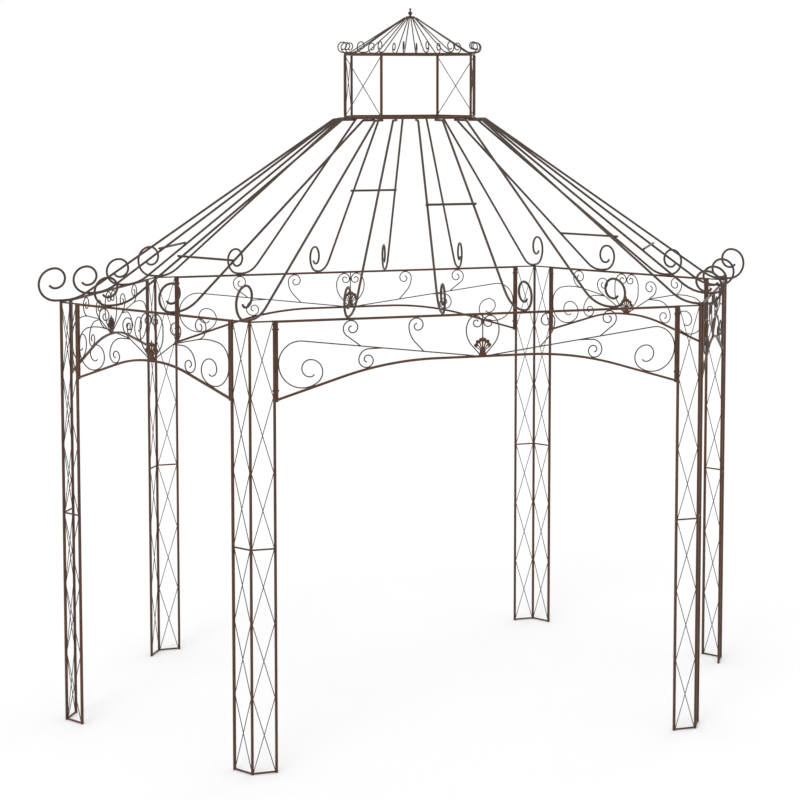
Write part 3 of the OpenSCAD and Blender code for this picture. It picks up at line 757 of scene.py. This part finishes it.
    def half_welds(self, bm, branches):
        """Beads where one half's scrolls touch the bars and each other."""
        bead = self.wire * SCROLL_BEAD
        x = self.inner - self.wire + self.weld - self.big
        middle = flat(x, self.over_arch(x, self.big))
        weld_bead(bm, flat(self.inner - self.weld, middle.z), 90, bead)
        a = self.slope_at(x)
        weld_bead(bm, middle - (self.big + self.wire / 2) * rise(a + 90), -a, bead)
        for (root, heading, _), (place, _, _, way, hangs) in zip(branches, BRANCHES[self.long]):
            x = place * self.inner
            if way < 0:
                a = self.slope_at(x)
                middle = flat(x, self.over_arch(x, self.small))
                weld_bead(bm, middle - (self.small + self.wire / 2) * rise(90 - a), -a, bead)
            elif not hangs:
                weld_bead(bm, flat(x, self.rail_under), 0, bead)
            weld_bead(bm, root + BRANCH_BEAD_AT * rise(heading), heading, self.wire * BRANCH_BEAD)


def arch_panel(scene, i):
    """An arch panel: its bars, its scrolls and its welds."""
    p = Panel(scene, i)
    bar, wire = square_bar(p.rail, p.rail * RAIL_CORNER), round_bar(p.wire)
    end_bar = square_bar(p.tube, scene.gazebo_posts.corner)
    steel, wires, beads = new_part(), new_part(), new_part()
    p.arch_bar(steel, bar)
    z = p.eaves - p.rail / 2
    straight(steel, bar, flat(-p.inner - p.weld, z), flat(p.inner + p.weld, z))
    for side in (-1, 1):
        x = side * (p.inner + p.tube / 2)
        straight(steel, end_bar, flat(x, p.spring - p.rail), flat(x, p.eaves))
        for height in (p.spring, z):
            weld_bead(beads, flat(side * p.inner, height), 90, p.rail * RAIL_BEAD)
    *stem, stem_height = p.main_stem()
    branches = [p.branch(stem_height, *spec) for spec in BRANCHES[p.long]]
    for way in (Matrix.Identity(4), MIRROR):
        half, half_beads = new_part(), new_part()
        for start, heading, path in (stem, *branches, p.heart()):
            bend_bar(half, wire, path, start, heading)
        p.half_welds(half_beads, branches)
        put(wires, half, way)
        put(beads, half_beads, way)
    if p.long:
        foot = p.bar_top + scene.gazebo_shells.tip - ROD_IN_TIP
        straight(wires, wire, flat(0, foot), flat(0, p.rail_under + p.weld))
        weld_bead(beads, flat(0, p.rail_under), 0, p.wire * CENTRE_BEAD)
    weld_up(SIDES[i] + "_arch", steel, wires, beads, p.place)


# ---------------------------------------------------------------- shells
LOBES = 6
# Rings of the castings, as (height, width, depth). The block's flared foot, shoulders and dome, as
# shares of its own sizes
BLOCK_DEPTH = 2.5
BLOCK = ((0.03, 1.24, 1), (0.09, 1.05, 0.92), (0.2, 0.94, 0.88), (0.42, 0.92, 0.88),
         (0.62, 0.88, 0.86), (0.8, 0.72, 0.78), (0.93, 0.46, 0.6), (1, 0.14, 0.25))
# A lobe's pad, as shares of the lobe's width, of that too, and of the pad's thickness
PAD = ((-0.5, 0.3, 0.278), (-0.4, 0.56, 0.556), (-0.2, 0.84, 0.833), (0, 0.96, 1),
       (0.2, 0.88, 0.944), (0.38, 0.6, 0.722), (0.46, 0.28, 0.417))
# A rib beside a lobe, as shares of its length, and then in metres
RIB = ((0, 0.0030, 0.0060), (0.3, 0.0042, 0.0082), (0.7, 0.0058, 0.0092),
       (0.93, 0.0060, 0.0088), (1, 0.0038, 0.0060))
# The root of the point over the two middle lobes, in metres from their ends, and its top
TIP_ROOT = ((-0.014, 0.0110, 0.0070), (-0.006, 0.0120, 0.0075), (0.002, 0.0086, 0.0066))
TIP_WIDTH = 0.0046


def cast_shell(scene, i):
    """A cast shell: a domed block, six padded lobes with open slots, ribs and a point."""
    p, shell = Panel(scene, i), scene.gazebo_shells
    part = new_part()
    wide, deep = shell.block, shell.depth * BLOCK_DEPTH
    foot = (-p.weld, wide * BLOCK[0][1], deep)
    loft(part, [foot] + ovals(BLOCK, shell.block_height, wide, deep), 28)
    step = math.degrees(shell.step)

    def spoke(place):
        """Angle of a lobe or a rib to the upright, how far out it reaches, and its place."""
        angle = step * place
        out = shell.reach - shell.droop * (angle / 60) ** 2 - shell.lobe
        return angle, out, Matrix.Translation(flat(0, shell.eye)) @ tilted(angle)

    loop = shell.lobe - shell.rim / 2
    for k in range(LOBES):
        angle, out, place = spoke(k - (LOBES - 1) / 2)
        lean, run = math.degrees(math.asin(loop / out)), math.sqrt(out * out - loop * loop)
        bend_bar(part, oval_bar(shell.rim, shell.depth), [(run,), (loop, -180 - 2 * lean), (run,)],
                 flat(0, shell.eye), 90 + angle + lean, per_step=20)
        width = 2 * shell.lobe
        loft(part, [(out + z, w, d) for z, w, d in ovals(PAD, width, width, shell.pad)], 20, place)
    for k in range(LOBES + 1):
        angle, out, place = spoke(k - LOBES / 2)
        loft(part, ovals(RIB, out, 1, 1), 10, place)
    top = shell.eye + shell.reach
    loft(part, [(top + z, w, d) for z, w, d in TIP_ROOT] + [(shell.tip, TIP_WIDTH, TIP_WIDTH)], 12)
    bm = new_part()
    put(bm, part, p.place @ Matrix.Translation((0, 0, p.bar_top)))
    name = SIDES[i] + "_shell"
    finish_piece(name + "_casting", bm, ["cast"], [name])


# ---------------------------------------------------------------- roof
RAFTER_CURL = ((1, 180), (0.7, 180), (0.44, 60))
CORNER_CURL = ((1, 180), (0.62, 180), (0.4, 60))
ROD_SIDES = 12


def slope_down(out, drop, bends):
    """Length and angle of a slope that runs out and drops between two bends."""
    run = math.sqrt(out * out + (drop - bends) ** 2 - bends * bends)
    return run, math.degrees(math.atan2(drop - bends, out) + math.atan2(bends, run))


def hang(bm, section, a, b, height, tab, drop, seat, r_top, r_eave, scroll):
    """A bar in its own upright plane from over a to over b: a level tab, the slope down, a flat
    seat whose middle is over b, and a scroll."""
    run, angle = slope_down((b - a).length - tab - seat / 2, drop, r_top + r_eave)
    path = [(tab,), (r_top, -angle), (run,), (r_eave, angle), (seat,)] + scroll
    part = new_part()
    bend_bar(part, section, path)
    put(bm, part, facing(a, b - a, height))


def inward(a, b, x):
    """The point x before a, on the line from a to b."""
    return a - x * (b - a).normalized()


class Roof:
    """The plans of the eaves and the lantern, and the heights between them."""

    def __init__(self, scene):
        plan, lantern, self.roof = scene.gazebo_plan, scene.gazebo_lantern, scene.gazebo_roof
        self.eave, self.ring = corners(plan), corners(lantern)
        self.tube, self.rail = scene.gazebo_posts.tube, scene.gazebo_arches.rail
        self.head = lantern.base - self.roof.rod / 2
        self.drop = self.head - plan.eaves - self.roof.rod / 2

    def rafter(self, bm, ring, eave, seat, scroll):
        """A rafter from a point of the lantern's outline to one of the eaves."""
        roof = self.roof
        hang(bm, round_bar(roof.rod, ROD_SIDES), inward(ring, eave, self.tube), eave, self.head,
             roof.tab + self.tube, self.drop, seat + 2 * roof.seat_spare, roof.top_bend,
             roof.eave_bend, scroll)

    def middle(self, i):
        """Places of the middle rafters along side i, under the lantern and on the eaves."""
        roof = self.roof
        if is_long(i):
            return [(k * roof.long_pitch_ring / 2, k * roof.long_pitch_eaves / 2) for k in (-1, 1)]
        shift = roof.short_shift if i % 3 == 1 else -roof.short_shift
        return [(k * roof.short_pitch_ring / 2, k * roof.short_pitch_eaves / 2 + shift)
                for k in (-1, 1)]

    def places(self, i):
        """Places of all the rafters along side i."""
        outer = [(k * self.roof.long_pitch_ring * 1.5, k * self.roof.long_outer) for k in (-1, 1)]
        return self.middle(i) + (outer if is_long(i) else [])

    def ends(self, i, place):
        """The points of the two outlines that a rafter of side i runs between."""
        return along(self.ring, i, place[0]), along(self.eave, i, place[1])

    def crossbar_end(self, i, place, height):
        """Where a rafter of side i passes that height, its heading in plan and its slope."""
        ring, eave = self.ends(i, place)
        roof = self.roof
        out = (eave - ring).length - roof.tab - (self.rail + 2 * roof.seat_spare) / 2
        a = slope_down(out, self.drop, roof.top_bend + roof.eave_bend)[1]
        down = self.head - height - roof.top_bend * (1 - cos(a))
        reach = roof.tab + roof.top_bend * sin(a) + down / tan(a)
        return inward(ring, eave, -reach), (eave - ring).normalized(), a


def side_rafters(scene, i):
    """The rafters between the corners of one side."""
    r = Roof(scene)
    bm = new_part()
    for place in r.places(i):
        r.rafter(bm, *r.ends(i, place), r.rail, curl(RAFTER_CURL, r.roof.scroll, 1))
    name = SIDES[i] + "_rafters"
    finish_piece(name + "_rod", bm, ["rod"], [name])


def corner_rafters(scene):
    """The six rafters over the posts."""
    r = Roof(scene)
    bm = new_part()
    for i in range(6):
        r.rafter(bm, r.ring[i], r.eave[i], r.tube * math.sqrt(2),
                 [(r.roof.corner_run,)] + curl(CORNER_CURL, r.roof.corner_scroll, 1))
    finish_piece("corner_rafters_rod", bm, ["rod"], ["corner_rafters"])


def crossbars(scene):
    """The bars that join the two middle rafters of each side."""
    r, roof = Roof(scene), scene.gazebo_roof
    lift = roof.rod - scene.gazebo_scrolls.weld
    spare = roof.crossbar_spare + roof.rod / 2
    bm = new_part()
    for i in range(6):
        height = roof.long_crossbar if is_long(i) else roof.short_crossbar
        ends = [r.crossbar_end(i, place, height) for place in r.middle(i)]
        left, v = ends[0][0], ends[1][0] - ends[0][0]
        tilt = sum(math.atan2(tan(a), v.normalized().cross(way).length) for _, way, a in ends) / 2
        part = new_part()
        straight(part, round_bar(roof.rod, ROD_SIDES), flat(-spare, lift),
                 flat(v.length + spare, lift))
        put(bm, part, facing(left, v, height) @ Matrix.Rotation(tilt, 4, "X"))
    finish_piece("roof_crossbars_rod", bm, ["rod"], ["roof_crossbars"])


# ---------------------------------------------------------------- lantern
def lantern_levels(scene):
    """Heights of the tops of the base ring and of the posts, and of the hub's underside."""
    lantern, tube = scene.gazebo_lantern, scene.gazebo_posts.tube
    low = lantern.base + tube
    high = low + lantern.post
    return low, high, high + tube + lantern.rod + lantern.rise


# Corner radius of the rings' tube, as a share of the posts', and how deep the ends of the wires
# are sunk, as a share of half a post
RING_CORNER, WIRE_SUNK = 0.6, 0.1


def lantern_ring(scene, low, name):
    """A six-sided ring of tube with mitred corners."""
    c, tube = corners(scene.gazebo_lantern), scene.gazebo_posts.tube
    bm = new_part()
    outline = []
    for i in range(6):
        ahead, behind = (c[(i + 1) % 6] - c[i]).normalized(), (c[i] - c[i - 1]).normalized()
        out = (ahead + behind).cross(Vector((0, 0, 1))) / (1 + ahead.dot(behind))
        outline.append(bm.verts.new(c[i] + out * tube / 2 + Vector((0, 0, low))))
    middle = bm.faces.new(outline)
    middle.normal_update()
    bmesh.ops.inset_region(bm, faces=[middle], thickness=tube, use_boundary=True,
                           use_even_offset=True)
    bmesh.ops.delete(bm, geom=[middle], context="FACES_ONLY")
    grown = bmesh.ops.extrude_face_region(bm, geom=bm.faces[:])["geom"]
    bmesh.ops.translate(bm, vec=(0, 0, tube),
                        verts=[g for g in grown if isinstance(g, bmesh.types.BMVert)])
    bmesh.ops.recalc_face_normals(bm, faces=bm.faces)
    long_edges = [e for e in bm.edges if e.calc_face_angle(0) > math.radians(80)]
    bmesh.ops.bevel(bm, geom=long_edges, offset=scene.gazebo_posts.corner * RING_CORNER,
                    affect="EDGES", segments=2, profile=0.5, material=-1)
    finish_piece(name + "_steel", bm, ["tube"], [name])


def lantern_posts(scene):
    """The lantern's six posts."""
    post, c = scene.gazebo_posts, corners(scene.gazebo_lantern)
    low, high, _ = lantern_levels(scene)
    bm = new_part()
    for i in range(6):
        part = new_part()
        straight(part, square_bar(post.tube, post.corner), flat(0, low), flat(0, high))
        put(bm, part, on_side(c, i))
    finish_piece("lantern_posts_steel", bm, ["tube"], ["lantern_posts"])


def lantern_braces(scene):
    """The wire crosses in the four short sides of the lantern."""
    lantern, c = scene.gazebo_lantern, corners(scene.gazebo_lantern)
    low, high, _ = lantern_levels(scene)
    edge = scene.gazebo_posts.tube / 2
    sunk = edge * WIRE_SUNK
    bm = new_part()
    for i in (1, 2, 4, 5):
        part, length = new_part(), side_length(c, i)
        for a, b, lift in ((low, high, lantern.wire / 2), (high, low, -lantern.wire / 2)):
            grade = (b - a) / length
            straight(part, round_bar(lantern.wire, 8), flat(edge - sunk, a + grade * edge),
                     flat(length - edge + sunk, b - grade * edge), lift)
        weld_bead(part, flat(length / 2, (low + high) / 2), 90, CROSS_BEAD)
        put(bm, part, on_side(c, i))
    finish_piece("lantern_braces_wire", bm, ["rod"], ["lantern_braces"])


def small_rafters(scene):
    """The rods of the small roof, from the hub to over the top ring."""
    lantern, c = scene.gazebo_lantern, corners(scene.gazebo_lantern)
    seat = scene.gazebo_posts.tube + 2 * scene.gazebo_roof.seat_spare
    height = lantern_levels(scene)[2] - lantern.rod / 2
    feet = list(c)
    for i in range(6):
        for k in (-1, 0, 1) if is_long(i) else (0,):
            feet.append(along(c, i, k * lantern.long_side / 4))
    bm = new_part()
    for foot in feet:
        start = (lantern.hub_r - lantern.tab) * foot.normalized()
        hang(bm, round_bar(lantern.rod), start, foot, height, lantern.tab + lantern.rod,
             lantern.rise, seat, lantern.top_bend, lantern.eave_bend,
             curl(RAFTER_CURL, lantern.scroll, 1))
    finish_piece("lantern_rafters_rod", bm, ["rod"], ["lantern_rafters"])


# Profiles of turned pieces, as shares of their height and width. The hub has a rolled rim
HUB = ((0, 0.94), (0.12, 0.985), (0.35, 1), (0.65, 1), (0.88, 0.98), (1, 0.93))
# The finial, as shares of its height: a foot, a bulb, a waist and a knob
FOOT = ((0, 0.34), (0.06, 0.34), (0.09, 0.24), (0.13, 0.22))
WAIST = ((0.64, 0.15), (0.70, 0.18), (0.73, 0.14))
BULB, BULB_AT, KNOB = 0.52, 0.38, 0.28


def ball(width, middle, angles):
    """Stretch of a ball's profile between two latitudes."""
    return [(middle + width / 2 * sin(a), width * cos(a)) for a in angles]


def crown(scene):
    """The hub, and the turned finial on it."""
    lantern, low = scene.gazebo_lantern, lantern_levels(scene)[2]
    bm = new_part()
    loft(bm, rounds(HUB, lantern.hub_depth, 2 * lantern.hub_r, low), 40)
    finish_piece("lantern_hub_casting", bm, ["cast"], ["lantern_hub"])
    profile = [*FOOT, *ball(BULB, BULB_AT, range(-60, 75, 15)), *WAIST,
               *ball(KNOB, 1 - KNOB / 2, range(-45, 90, 15)), (1, KNOB * 0.08)]
    bm = new_part()
    loft(bm, rounds(profile, lantern.finial, lantern.finial, low + lantern.hub_depth), 32)
    finish_piece("finial_casting", bm, ["cast"], ["finial"])


# ---------------------------------------------------------------- fixings
# Profiles as shares of a bolt head's height and of its width across the flats
WASHER = ((0, 1.12), (0.18, 1.12), (0.22, 1.08))
HEXAGON = ((0.2, 1), (0.9, 1), (1, 0.9))
SHANK_END = ((0.9, 0.54), (1.06, 0.48))
DOME = ((0.9, 0.84), (1.2, 0.8), (1.5, 0.6), (1.68, 0.3), (1.72, 0.06))


def bolt_end(bolt, top, sides, place):
    """A washer and a hexagon that stand on the XY plane, with a dome or the end of a shank."""
    bm = new_part()
    loft(bm, rounds(WASHER, bolt.height, bolt.across), 20, place)
    loft(bm, rounds(HEXAGON, bolt.height, bolt.across / cos(30)), 6, place)
    loft(bm, rounds(top, bolt.height, bolt.across), sides, place)
    return bm


def fixings(scene):
    """Two bolts through each end of an arch panel and the tube of the post beside it."""
    plan, post, bolt = scene.gazebo_plan, scene.gazebo_posts, scene.gazebo_bolts
    c, top = corners(plan), plan.eaves - bolt.inset
    bottom = plan.eaves - scene.gazebo_arches.height + bolt.inset
    turned_round = Matrix.Rotation(math.pi, 4, "Y")
    bm = new_part()
    for i in range(6):
        for place in (on_side(c, i), from_end(c, i)):
            for z in (bottom, top):
                head = Matrix.Translation((post.width - post.tube / 2, 0, z)) @ ACROSS
                nut = Matrix.Translation((post.width + post.tube * 1.5, 0, z)) @ ACROSS
                put(bm, bolt_end(bolt, SHANK_END, 12, head @ turned_round), place)
                put(bm, bolt_end(bolt, DOME, 14, nut), place)
    finish_piece("panel_bolts", bm, ["bolt"], [])


# ---------------------------------------------------------------- paint
def node(tree, kind, settings=(), **sockets):
    """Adds a node, sets it up and joins or fills its sockets."""
    n = tree.nodes.new(kind)
    for name, value in settings:
        setattr(n, name, value)
    for name, value in sockets.items():
        socket = n.inputs[name.replace("_", " ")]
        if isinstance(value, bpy.types.NodeSocket):
            tree.links.new(value, socket)
        else:
            socket.default_value = value
    return n


def blend_colors(tree, mask, a, b):
    """Colour a where the mask is 0 and colour b where it is 1."""
    n = tree.nodes.new("ShaderNodeMix")
    n.data_type = "RGBA"
    for index, value in ((0, mask), (6, a), (7, b)):
        tree.links.new(value, n.inputs[index])
    return n.outputs[2]


def noise(tree, vector, scale, detail=3.0, rough=0.5):
    """Noise with that many blobs to the metre."""
    return node(tree, "ShaderNodeTexNoise", Vector=vector, Scale=scale, Detail=detail,
                Roughness=rough).outputs[0]


def remap(tree, value, a, b, low=0.0, high=1.0):
    """Spreads the stretch from a to b over the stretch from low to high."""
    return node(tree, "ShaderNodeMapRange", Value=value, From_Min=a, From_Max=b, To_Min=low,
                To_Max=high).outputs[0]


def combine(tree, how, a, b):
    """Multiplies, adds or subtracts two values."""
    n = node(tree, "ShaderNodeMath", [("operation", how)])
    for socket, value in zip(n.inputs, (a, b)):
        if isinstance(value, bpy.types.NodeSocket):
            tree.links.new(value, socket)
        else:
            socket.default_value = value
    return n.outputs[0]


COAT_INPUTS = (("Vector", "Vector"), ("Base", "Color"), ("Glow", "Color"), ("Shade", "Color"),
               ("Rubbed", "Color"), ("Mottle", "Float"), ("Edge", "Float"), ("Rub", "Float"),
               ("Gloss", "Float"))
COAT_OUTPUTS = (("Color", "Color"), ("Roughness", "Float"), ("Height", "Float"))


def powder_coat():
    """The node group of a baked powder coat: drifting browns, thin edges and orange peel."""
    if "powder_coat" in bpy.data.node_groups:
        return bpy.data.node_groups["powder_coat"]
    group = bpy.data.node_groups.new("powder_coat", "ShaderNodeTree")
    for way, sockets in (("INPUT", COAT_INPUTS), ("OUTPUT", COAT_OUTPUTS)):
        for name, kind in sockets:
            group.interface.new_socket(name, in_out=way, socket_type="NodeSocket" + kind)
    given = group.nodes.new("NodeGroupInput").outputs
    made = group.nodes.new("NodeGroupOutput").inputs
    vector, mottle = given["Vector"], given["Mottle"]

    def times(a, b):
        return combine(group, "MULTIPLY", a, b)

    # Broad shaded patches, and warmer streaks in them
    patches = remap(group, noise(group, vector, 5.0, detail=4.0), 0.42, 0.66)
    streaks = remap(group, noise(group, vector, 38.0, detail=5.0, rough=0.6), 0.48, 0.70)
    color = blend_colors(group, times(patches, mottle), given["Base"], given["Shade"])
    color = blend_colors(group, times(streaks, mottle), color, given["Glow"])
    # Edges that are rubbed thin, here and there
    chips = remap(group, noise(group, vector, 75.0, detail=6.0, rough=0.65), 0.50, 0.58)
    worn = times(chips, remap(group, noise(group, vector, 3.1), 0.50, 0.62))
    rubbed = times(times(worn, given["Edge"]), given["Rub"])
    group.links.new(blend_colors(group, rubbed, color, given["Rubbed"]), made["Color"])
    # A fine dust that dulls the coat, which is shinier where it is rubbed
    dust = remap(group, noise(group, vector, 320.0, detail=2.0), 0.35, 0.65, -0.05, 0.06)
    matt = combine(group, "ADD", combine(group, "ADD", given["Gloss"], dust), times(streaks, 0.06))
    group.links.new(combine(group, "SUBTRACT", matt, times(rubbed, 0.10)), made["Roughness"])
    # Orange peel over the sags of the powder
    peel = noise(group, vector, 620.0, detail=2.0, rough=0.45)
    sag = noise(group, vector, 130.0, detail=2.0)
    group.links.new(combine(group, "ADD", peel, times(sag, 0.8)), made["Height"])
    return group


# Name, setting of its colour and strength of the orange peel of each kind of coat
COATS = {"tube": ("tube_coat", "tube_color", 0.30), "rod": ("rod_coat", "rod_color", 0.22),
         "cast": ("cast_coat", "cast_color", 0.75), "bolt": ("bolt_coat", "bolt_color", 0.12),
         "plug": ("plug_plastic", "plug_color", 0.35)}
# How much lighter than its own colour a coat without the antique glow is mottled
OWN_GLOW = 2.2
PEEL_DEPTH = 0.0003
PLASTIC_MOTTLE, PLASTIC_ROUGHNESS = 0.4, 0.62


def coat(kind):
    """The material of one kind of surface, made once."""
    name, setting, peel = COATS[kind]
    if name in bpy.data.materials:
        return bpy.data.materials[name]
    f, plastic = bpy.context.scene.gazebo_finish, kind == "plug"
    base = getattr(f, setting)
    m = bpy.data.materials.new(name)
    m.use_nodes = True
    tree = m.node_tree
    shader = tree.nodes["Principled BSDF"]
    group = node(tree, "ShaderNodeGroup", [("node_tree", powder_coat())])
    where = tree.nodes.new("ShaderNodeTexCoord").outputs["Object"]
    edge = node(tree, "ShaderNodeAttribute", [("attribute_name", "rub")]).outputs["Fac"]
    tree.links.new(where, group.inputs["Vector"])
    tree.links.new(edge, group.inputs["Edge"])
    glow = f.glow_color if kind in ("tube", "cast") else [min(1, c * OWN_GLOW) for c in base]
    for socket, color in (("Base", base), ("Glow", glow), ("Shade", f.shade_color),
                          ("Rubbed", base if plastic else f.rub_color)):
        group.inputs[socket].default_value = (*color, 1)
    group.inputs["Mottle"].default_value = f.mottle * (PLASTIC_MOTTLE if plastic else 1.0)
    group.inputs["Rub"].default_value = 0.0 if plastic else f.rub
    group.inputs["Gloss"].default_value = PLASTIC_ROUGHNESS if plastic else f.roughness
    bump = node(tree, "ShaderNodeBump", Strength=peel, Distance=PEEL_DEPTH,
                Height=group.outputs["Height"])
    for output, socket in ((group.outputs["Color"], "Base Color"),
                           (group.outputs["Roughness"], "Roughness"), (bump.outputs[0], "Normal")):
        tree.links.new(output, shader.inputs[socket])
    for socket, value in (("IOR", 1.5), ("Specular IOR Level", 0.25),
                          ("Coat Weight", 0.0 if plastic else 0.08), ("Coat Roughness", 0.3)):
        shader.inputs[socket].default_value = value
    return m


def paint_nodes(scene):
    """Coats the CAD nodes themselves, which the finished pieces stand in for."""
    for name, obj in frame["nodes"].items():
        kind = "tube"
        if "rafters" in name or "crossbars" in name or "braces" in name:
            kind = "rod"
        elif "shell" in name or name in ("lantern_hub", "finial"):
            kind = "cast"
        obj.data.materials.clear()
        obj.data.materials.append(coat(kind))


# ---------------------------------------------------------------- studio
# The lights, from where they shine, and how many degrees wide they are
LIGHTS = (("key", (-7, -9, 12)), ("rim", (8, 6, 8)))
LIGHT_SPREAD = 25


def add(scene, name, data, place=(0, 0, 0), turn=(0, 0, 0)):
    """Puts a light, a camera or a mesh in the scene."""
    obj = bpy.data.objects.new(name, data)
    obj.location, obj.rotation_euler = place, turn
    scene.collection.objects.link(obj)
    return obj


def lay_floor(scene, settings):
    """A wide sheet of pale matt paper."""
    bm = bmesh.new()
    bmesh.ops.create_grid(bm, x_segments=1, y_segments=1, size=settings.floor_size / 2)
    mesh = bpy.data.meshes.new("floor")
    bm.to_mesh(mesh)
    bm.free()
    paper = bpy.data.materials.new("floor_paper")
    paper.use_nodes = True
    shader = paper.node_tree.nodes["Principled BSDF"]
    shader.inputs["Base Color"].default_value = (*settings.floor_color, 1)
    shader.inputs["Roughness"].default_value = 0.9
    shader.inputs["Specular IOR Level"].default_value = 0.1
    mesh.materials.append(paper)
    floor = add(scene, "floor", mesh)


def hang_lights(scene, settings):
    """Even light from all round, a wide key light and a weaker one from behind."""
    world = bpy.data.worlds.new("soft_white")
    world.use_nodes = True
    back = world.node_tree.nodes["Background"]
    back.inputs["Color"].default_value = (1, 1, 1, 1)
    back.inputs["Strength"].default_value = settings.sky
    scene.world = world
    for name, place in LIGHTS:
        light = bpy.data.lights.new(name + "_light", "SUN")
        light.energy, light.angle = getattr(settings, name), math.radians(LIGHT_SPREAD)
        turn = (-Vector(place)).to_track_quat("-Z", "Y").to_euler()
        add(scene, name + "_light", light, place, turn)


def stand_camera(scene, settings):
    """The camera, and the plain view transform that it is seen with."""
    camera = bpy.data.cameras.new("camera")
    camera.sensor_width, camera.lens = SENSOR, settings.lens
    camera.shift_x, camera.shift_y = settings.shift
    camera.clip_end = settings.floor_size
    turn = (math.pi / 2 + settings.camera_pitch, 0, -settings.camera_turn)
    scene.camera = add(scene, "camera", camera, settings.camera_place, turn)
    scene.view_settings.view_transform = "Standard"


# ---------------------------------------------------------------- operators
class GAZEBO_OT_nodes(bpy.types.Operator):
    """Coat the CAD nodes"""

    bl_idname = "gazebo.nodes"
    bl_label = "Coat the CAD nodes"

    def execute(self, context):
        paint_nodes(context.scene)
        return {"FINISHED"}


class GAZEBO_OT_posts(bpy.types.Operator):
    """Weld up the twelve lattice faces of the posts"""

    bl_idname = "gazebo.posts"
    bl_label = "Lattice posts"

    def execute(self, context):
        for i in range(6):
            post_face(context.scene, i, True)
            post_face(context.scene, i, False)
        return {"FINISHED"}


class GAZEBO_OT_plugs(bpy.types.Operator):
    """Push a plug into the foot of every tube"""

    bl_idname = "gazebo.plugs"
    bl_label = "Foot plugs"

    def execute(self, context):
        plugs(context.scene)
        return {"FINISHED"}


class GAZEBO_OT_arches(bpy.types.Operator):
    """Bend the arch bars and the scrollwork of the six panels"""

    bl_idname = "gazebo.arches"
    bl_label = "Arch panels"

    def execute(self, context):
        for i in range(6):
            arch_panel(context.scene, i)
        return {"FINISHED"}


class GAZEBO_OT_shells(bpy.types.Operator):
    """Cast the six shells"""

    bl_idname = "gazebo.shells"
    bl_label = "Shells"

    def execute(self, context):
        for i in range(6):
            cast_shell(context.scene, i)
        return {"FINISHED"}


class GAZEBO_OT_rafters(bpy.types.Operator):
    """Bend the rafters and lay the crossbars on them"""

    bl_idname = "gazebo.rafters"
    bl_label = "Rafters"

    def execute(self, context):
        for i in range(6):
            side_rafters(context.scene, i)
        corner_rafters(context.scene)
        crossbars(context.scene)
        return {"FINISHED"}


class GAZEBO_OT_lantern(bpy.types.Operator):
    """Weld up the lantern and bend its small rafters"""

    bl_idname = "gazebo.lantern"
    bl_label = "Lantern"

    def execute(self, context):
        scene = context.scene
        lantern_ring(scene, scene.gazebo_lantern.base, "lantern_base_ring")
        lantern_ring(scene, lantern_levels(scene)[1], "lantern_top_ring")
        lantern_posts(scene)
        lantern_braces(scene)
        small_rafters(scene)
        return {"FINISHED"}


class GAZEBO_OT_crown(bpy.types.Operator):
    """Turn the hub and the finial"""

    bl_idname = "gazebo.crown"
    bl_label = "Hub and finial"

    def execute(self, context):
        crown(context.scene)
        return {"FINISHED"}


class GAZEBO_OT_fixings(bpy.types.Operator):
    """Bolt the panels to the posts"""

    bl_idname = "gazebo.fixings"
    bl_label = "Panel bolts"

    def execute(self, context):
        fixings(context.scene)
        return {"FINISHED"}


class GAZEBO_OT_studio(bpy.types.Operator):
    """Lay the floor, hang the lights and stand the camera"""

    bl_idname = "gazebo.studio"
    bl_label = "Studio"

    def execute(self, context):
        scene, settings = context.scene, context.scene.gazebo_studio
        lay_floor(scene, settings)
        hang_lights(scene, settings)
        stand_camera(scene, settings)
        return {"FINISHED"}


OPERATORS = (GAZEBO_OT_nodes, GAZEBO_OT_posts, GAZEBO_OT_plugs, GAZEBO_OT_arches,
             GAZEBO_OT_shells, GAZEBO_OT_rafters, GAZEBO_OT_lantern, GAZEBO_OT_crown,
             GAZEBO_OT_fixings, GAZEBO_OT_studio)


class GAZEBO_PT_sidebar(bpy.types.Panel):
    """The steps of the gazebo, in order, with the sizes and colours that they use"""

    bl_idname = "GAZEBO_PT_sidebar"
    bl_label = "Gazebo"
    bl_space_type = "VIEW_3D"
    bl_region_type = "UI"
    bl_category = "Gazebo"

    def draw(self, context):
        for step in OPERATORS:
            self.layout.operator(step.bl_idname)
        for name, group in SETTINGS.items():
            box = self.layout.box()
            box.label(text=group.__doc__)
            for field in group.__annotations__:
                box.prop(getattr(context.scene, name), field)


CLASSES = tuple(SETTINGS.values()) + OPERATORS + (GAZEBO_PT_sidebar,)


def register():
    for cls in CLASSES:
        bpy.utils.register_class(cls)
    for name, group in SETTINGS.items():
        setattr(bpy.types.Scene, name, bpy.props.PointerProperty(type=group))


def unregister():
    for name in SETTINGS:
        delattr(bpy.types.Scene, name)
    for cls in reversed(CLASSES):
        bpy.utils.unregister_class(cls)


def main():
    register()
    bpy.ops.gazebo.nodes()
    bpy.ops.gazebo.posts()
    bpy.ops.gazebo.plugs()
    bpy.ops.gazebo.arches()
    bpy.ops.gazebo.shells()
    bpy.ops.gazebo.rafters()
    bpy.ops.gazebo.lantern()
    bpy.ops.gazebo.crown()
    bpy.ops.gazebo.fixings()
    bpy.ops.gazebo.studio()


if __name__ == "__main__":
    main()
